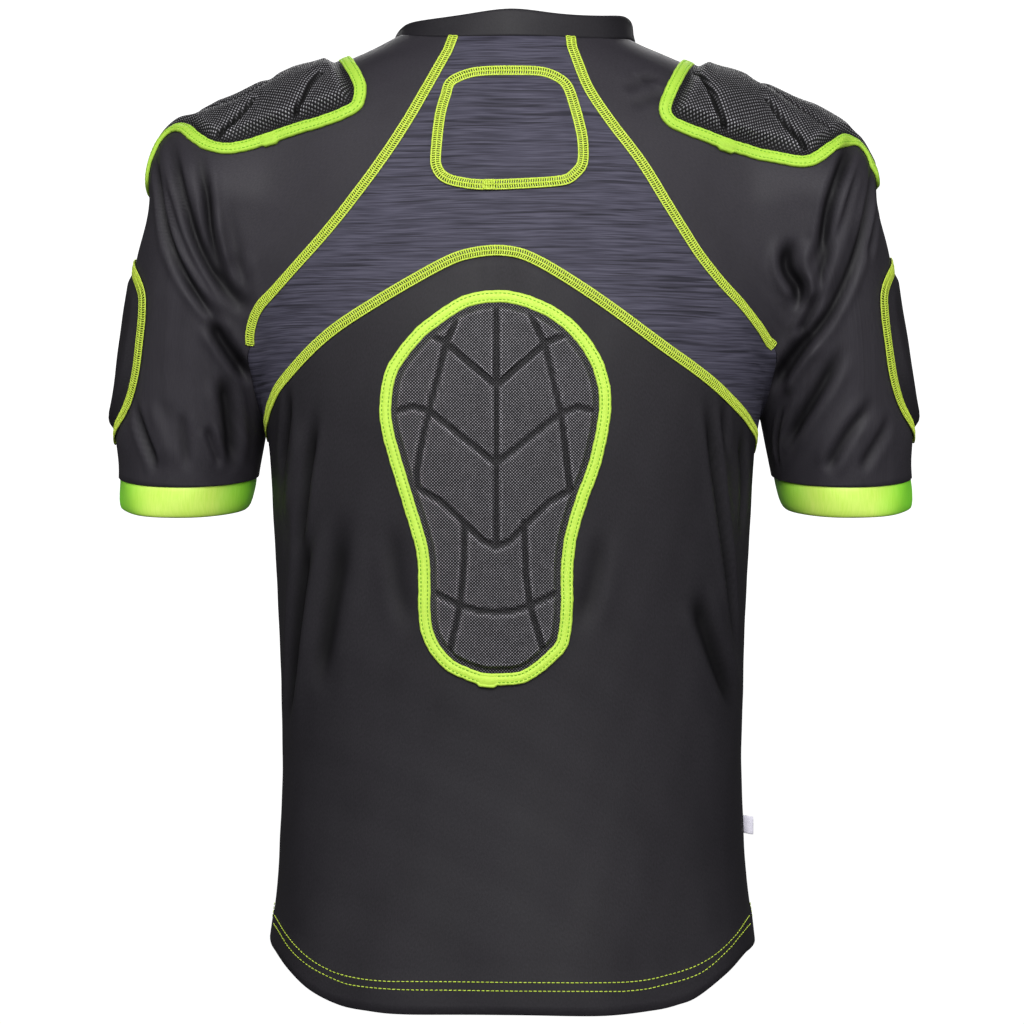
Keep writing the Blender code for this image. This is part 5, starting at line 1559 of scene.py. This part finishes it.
    line = fair(even(curve(BACK_PAD, 600, True), 400, True), 140)
    edge = inset(line, BIND_W / 2 / PX * 0.72)
    height, relief_shading = back_height(edge)
    keep_pad("back_pad", pad_piece("back_pad_foam", edge, BACK_PAD_MID, from_view, height, np.array((PX, -PX)), 56, fine_mesh, relief_shading))
    trims = [("back_binding", from_view(line), from_view(np.array(TABS["back"], float)), BIND_W)]
    line = fair(even(curve(YOKE_PAD, 500, True), 200, True), 24)
    keep_pad("yoke_pad", pad_piece("yoke_pad_cloth", line, YOKE_PAD_MID, from_view, swell(line, 0.0009, 0.0030, 0.014, PX),
                                   np.array((PX, -PX)), 22, slate))
    seams = [("yoke_pad_seam", from_view(line), True, 0.0013),
             ("yoke_pad_seam_lap", from_view(curve(((484, 185.2), (489, 185.2), (494, 184.9)), 12)), False, 0.0019)]
    for side, word, key in ((-1, "left", "L"), (1, "right", "R")):
        chart = ShoulderChart(side)
        line = fair(even(curve(SHOULDER_PAD_BACK[side] + SHOULDER_PAD_TIP[side] + SHOULDER_PAD_FRONT, 700, True), 560, True), 60)
        edge = inset(line, BIND_W / 2 * 1000 * 0.78)
        height, relief_shading = shoulder_height(edge, side)
        keep_pad("shoulder_pad_" + word, pad_piece("shoulder_pad_%s_foam" % word, edge, SHOULDER_PAD_MID[side], chart.lay, height,
                                                   np.array((0.001, 0.001)), 84, wide_mesh, relief_shading))
        trims.append(("shoulder_binding_" + word, chart.lay(line), from_view(np.array(TABS[side], float)), BIND_W))
        line = sleeve_oval(180)
        metres = np.array((ARMS[side].length, 0.055 * math.pi / 180))
        keep_pad("sleeve_pad_" + word, pad_piece("sleeve_pad_%s_cloth" % word, line, ((0.42, 0.0), (0.70, 0.0)), arm_lay(side),
                                                 sleeve_height(line, metres), metres, 26, black))
        seams.append(("sleeve_pad_%s_seam" % word, arm_lay(side)(line), True, 0.0014))
        stop = np.linalg.norm(fine["back" + key] - from_view(np.array(RAGLAN_STOP[side], float)), axis=1).argmin()
        seams.append(("raglan_%s_back_seam" % word, fine["back" + key][:stop + 1], False, 0.0007))
        stop = np.abs(fine["front" + key][:, 2] - RAGLAN_STOP_FRONT).argmin()
        seams.append(("raglan_%s_front_seam" % word, fine["front" + key][:stop + 1], False, 0.0007))
    seams.append(("arch_seam", fine["arch"], False, 0.0007))
    for name, line, tab_at, width in trims:
        obj, rows, total = binding(name + "_tape", line, tab_at, tape if name.startswith("back") else tape_shaded, dark_thread)
        pieces[name] = obj
        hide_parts(name)
        cuts[name] = (0.0105, total, 0.0105 * total)
    for name, line, closed, lift in seams:
        obj = flatlock(name, line, closed, thread, lift, SEAM_W * (1.3 if name.startswith("sleeve_pad") else 1.0))

    # twin-needle hem, back and front, and the tacks at the side seams
    rows = []
    for r in HEM_ROWS:
        back = from_view(curve(r, 300))
        rows.append((back, False))
        rows.append((from_front(back[:, 0], back[:, 2]), False))
    hem = dashes("hem_stitch", rows, 0.00324, 0.00125, 0.00034, thread, 0.0007)
    ends = []
    for side in (-1, 1):
        z = np.linspace(-0.6215, -0.6300, 4)
        p = settle(np.stack((np.full(4, side * 0.172), np.full(4, -0.0022), z), -1))
        n = normal(p)
        t = np.tile((0, 0, 1.0), (4, 1))
        t = t - (t * n).sum(-1, keepdims=True) * n
        ends.append(stitches(p + n * (disp(p) + 0.0006)[:, None], t / np.linalg.norm(t, axis=1, keepdims=True), n, 0.0011, 0.00034))
    joined("side_tack", ends, thread)

    # blank tab in the right side seam
    lo, hi = (np.array(v, float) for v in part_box("side_label"))
    u = np.linspace(0, 1, 12)
    v = np.linspace(0, 1, 10)
    uu, vv = np.meshgrid(u, v)
    x = lo[0] - 0.0004 + uu * (hi[0] - lo[0])
    bow = 0.0016 * np.sin(uu * math.pi * 0.9) * (0.4 + 0.6 * vv)
    g = np.stack((x, (lo[1] + hi[1]) / 2 - bow, hi[2] - 0.0010 - vv * (hi[2] - lo[2] - 0.0018) - 0.0012 * uu), -1)
    made = wall("side_label_tab", g + np.array((0, -0.00035, 0)), g + np.array((0, 0.00035, 0)), False, tab)
    keep("side_label", made, "label_white")

    # the cut of each piece of cloth: its widest line across, its length along the middle, and its area
    for name, (w, l, area) in cuts.items():
        if name in FLAT_BODY:
            w, l = flat_body(name, pieces[name])
        elif name in FLAT_ARM:
            w, l = flat_arm(FLAT_ARM[name], l)
        elif name == "side_label" or "binding" in name:
            print("flat", name, round(w, 4), round(l, 4))
            continue
        w, l = round(w, 3), round(l, 3)
        print("flat", name, w, l, round(area, 4), "share", round(area / (w * l), 3))

    tris = sum(len(q.vertices) - 2 for o in bpy.data.objects if o.type == "MESH" and o.data.polygons and not o.hide_render for q in o.data.polygons)
    print("triangles with the frame's own", tris)
    stage()


FLAT_BODY = {"back_yoke": -1, "back_lower": -1, "front": 1}
FLAT_ARM = {"sleeve_left": -1, "sleeve_right": 1}


def flat_body(name, obj):
    """Widest level section of a body panel, and the length down the middle of its side between its top and foot."""
    p = np.array([v.co for v in obj.data.vertices])
    widest = 0.0
    for z in np.arange(p[:, 2].min() + 0.01, p[:, 2].max() - 0.01, 0.01):
        band = p[np.abs(p[:, 2] - z) < 0.004]
        lo, hi = band[:, 0].min(), band[:, 0].max()
        x = np.linspace(lo, hi, 160)
        q = from_front(x, np.full(160, z)) if FLAT_BODY[name] > 0 else from_view(np.stack((MID_U + x / PX, np.full(160, NECK_V - z / PX)), -1))
        q = q[np.abs(q[:, 2] - z) < 0.03]
        widest = max(widest, length_of(q))
    z = np.linspace(p[:, 2].max(), p[:, 2].min(), 120)
    if FLAT_BODY[name] > 0:
        run = from_front(np.zeros(120), z)
    else:
        run = from_view(np.stack((np.full(120, MID_U), NECK_V - z / PX), -1))
    return widest, length_of(run)


def flat_arm(side, longest):
    """Widest ring of a sleeve below the underarm, and its longest line from the neck to the cuff."""
    turns = np.linspace(-180, 180, 181)[:-1]
    wide = max(length_of(settle(arm_point(side, np.full(180, s), turns), 4), True) for s in (0.55, 0.65, 0.75))
    return wide * 1.12, longest


CUFF_ROWS = ((0.0, 0.0015), (0.06, 0.0013), (0.16, 0.0013), (0.34, 0.0013), (0.55, 0.0015), (0.76, 0.0019), (0.92, 0.0026), (1.0, 0.0034))


def stage():
    """Round pale floor with a rim that runs up all round, soft studio lights, and the camera of the back view."""
    m = Nodes("studio_white", (0.92, 0.92, 0.92), 0.9, 0.1)
    n = m.noise(m.coords("Object", (3, 3, 3)), 1.0, 1.0)
    m.colour(m.ramp(n, ((0.3, (0.90, 0.90, 0.90)), (0.7, (0.94, 0.94, 0.94)))))
    m.bsdf.inputs["Emission Color"].default_value = (1, 1, 1, 1)
    m.bsdf.inputs["Emission Strength"].default_value = 1.03
    floor_z, rim, bend, turns = -0.80, 9.0, 2.0, 72
    profile = [(rim - bend, floor_z)]
    for a in np.linspace(0, math.pi / 2, 14)[1:]:
        profile.append((rim - bend + bend * math.sin(a), floor_z + bend * (1 - math.cos(a))))
    profile.append((rim, 7.0))
    verts = [(r * math.cos(t), r * math.sin(t), z) for r, z in profile for t in np.arange(turns) * 2 * math.pi / turns]
    faces = [tuple(range(turns))]
    for i in range(len(profile) - 1):
        faces += [(i * turns + j, i * turns + (j + 1) % turns, (i + 1) * turns + (j + 1) % turns, (i + 1) * turns + j) for j in range(turns)]
    mesh = bpy.data.meshes.new("floor")
    mesh.from_pydata(verts, [], faces)
    mesh.polygons.foreach_set("use_smooth", [True] * len(mesh.polygons))
    mesh.materials.append(m.mat)
    floor = bpy.data.objects.new("floor", mesh)
    bpy.context.scene.collection.objects.link(floor)
    floor.visible_diffuse = floor.visible_glossy = floor.visible_shadow = False

    world = bpy.data.worlds.new("studio")
    world.use_nodes = True
    world.node_tree.nodes["Background"].inputs["Color"].default_value = (1, 1, 1, 1)
    world.node_tree.nodes["Background"].inputs["Strength"].default_value = WORLD
    bpy.context.scene.world = world
    for name, place, aim, size, power in LIGHTS:
        light = bpy.data.lights.new(name, "AREA")
        light.shape = "RECTANGLE"
        light.size, light.size_y = size
        light.energy = power
        obj = bpy.data.objects.new(name, light)
        way = np.array(aim, float) - np.array(place, float)
        obj.location = place
        obj.visible_camera = False
        obj.rotation_euler = (math.atan2(math.hypot(way[0], way[1]), -way[2]), 0, math.atan2(-way[0], way[1]))
        bpy.context.scene.collection.objects.link(obj)
    cam = bpy.data.cameras.new("camera")
    cam.sensor_width = 36.0
    cam.lens = 36.0 * VIEW / (1024 * PX)
    cam.clip_end = 50
    obj = bpy.data.objects.new("camera", cam)
    obj.location = (0, -VIEW, (NECK_V - EYE_V) * PX)
    obj.rotation_euler = (math.pi / 2, 0, 0)
    bpy.context.scene.collection.objects.link(obj)
    bpy.context.scene.camera = obj
    bpy.context.scene.view_settings.view_transform = "Standard"


WORLD = 0.075
# name, place, aim, size, power
LIGHTS = (
    ("key", (-0.15, -2.6, 1.3), (0, 0, -0.22), (2.0, 1.2), 79.0),
    ("fill", (0.45, -3.0, 0.4), (0, 0, -0.25), (1.5, 1.5), 35.0),
    ("left", (-2.3, -1.3, 0.7), (0, 0, -0.30), (1.2, 1.6), 20.0),
    ("right", (2.3, -1.3, 0.7), (0, 0, -0.30), (1.2, 1.6), 18.0),
    ("front", (0.2, 3.2, 1.5), (0, 0, -0.25), (2.4, 1.6), 60.0),
)

main()
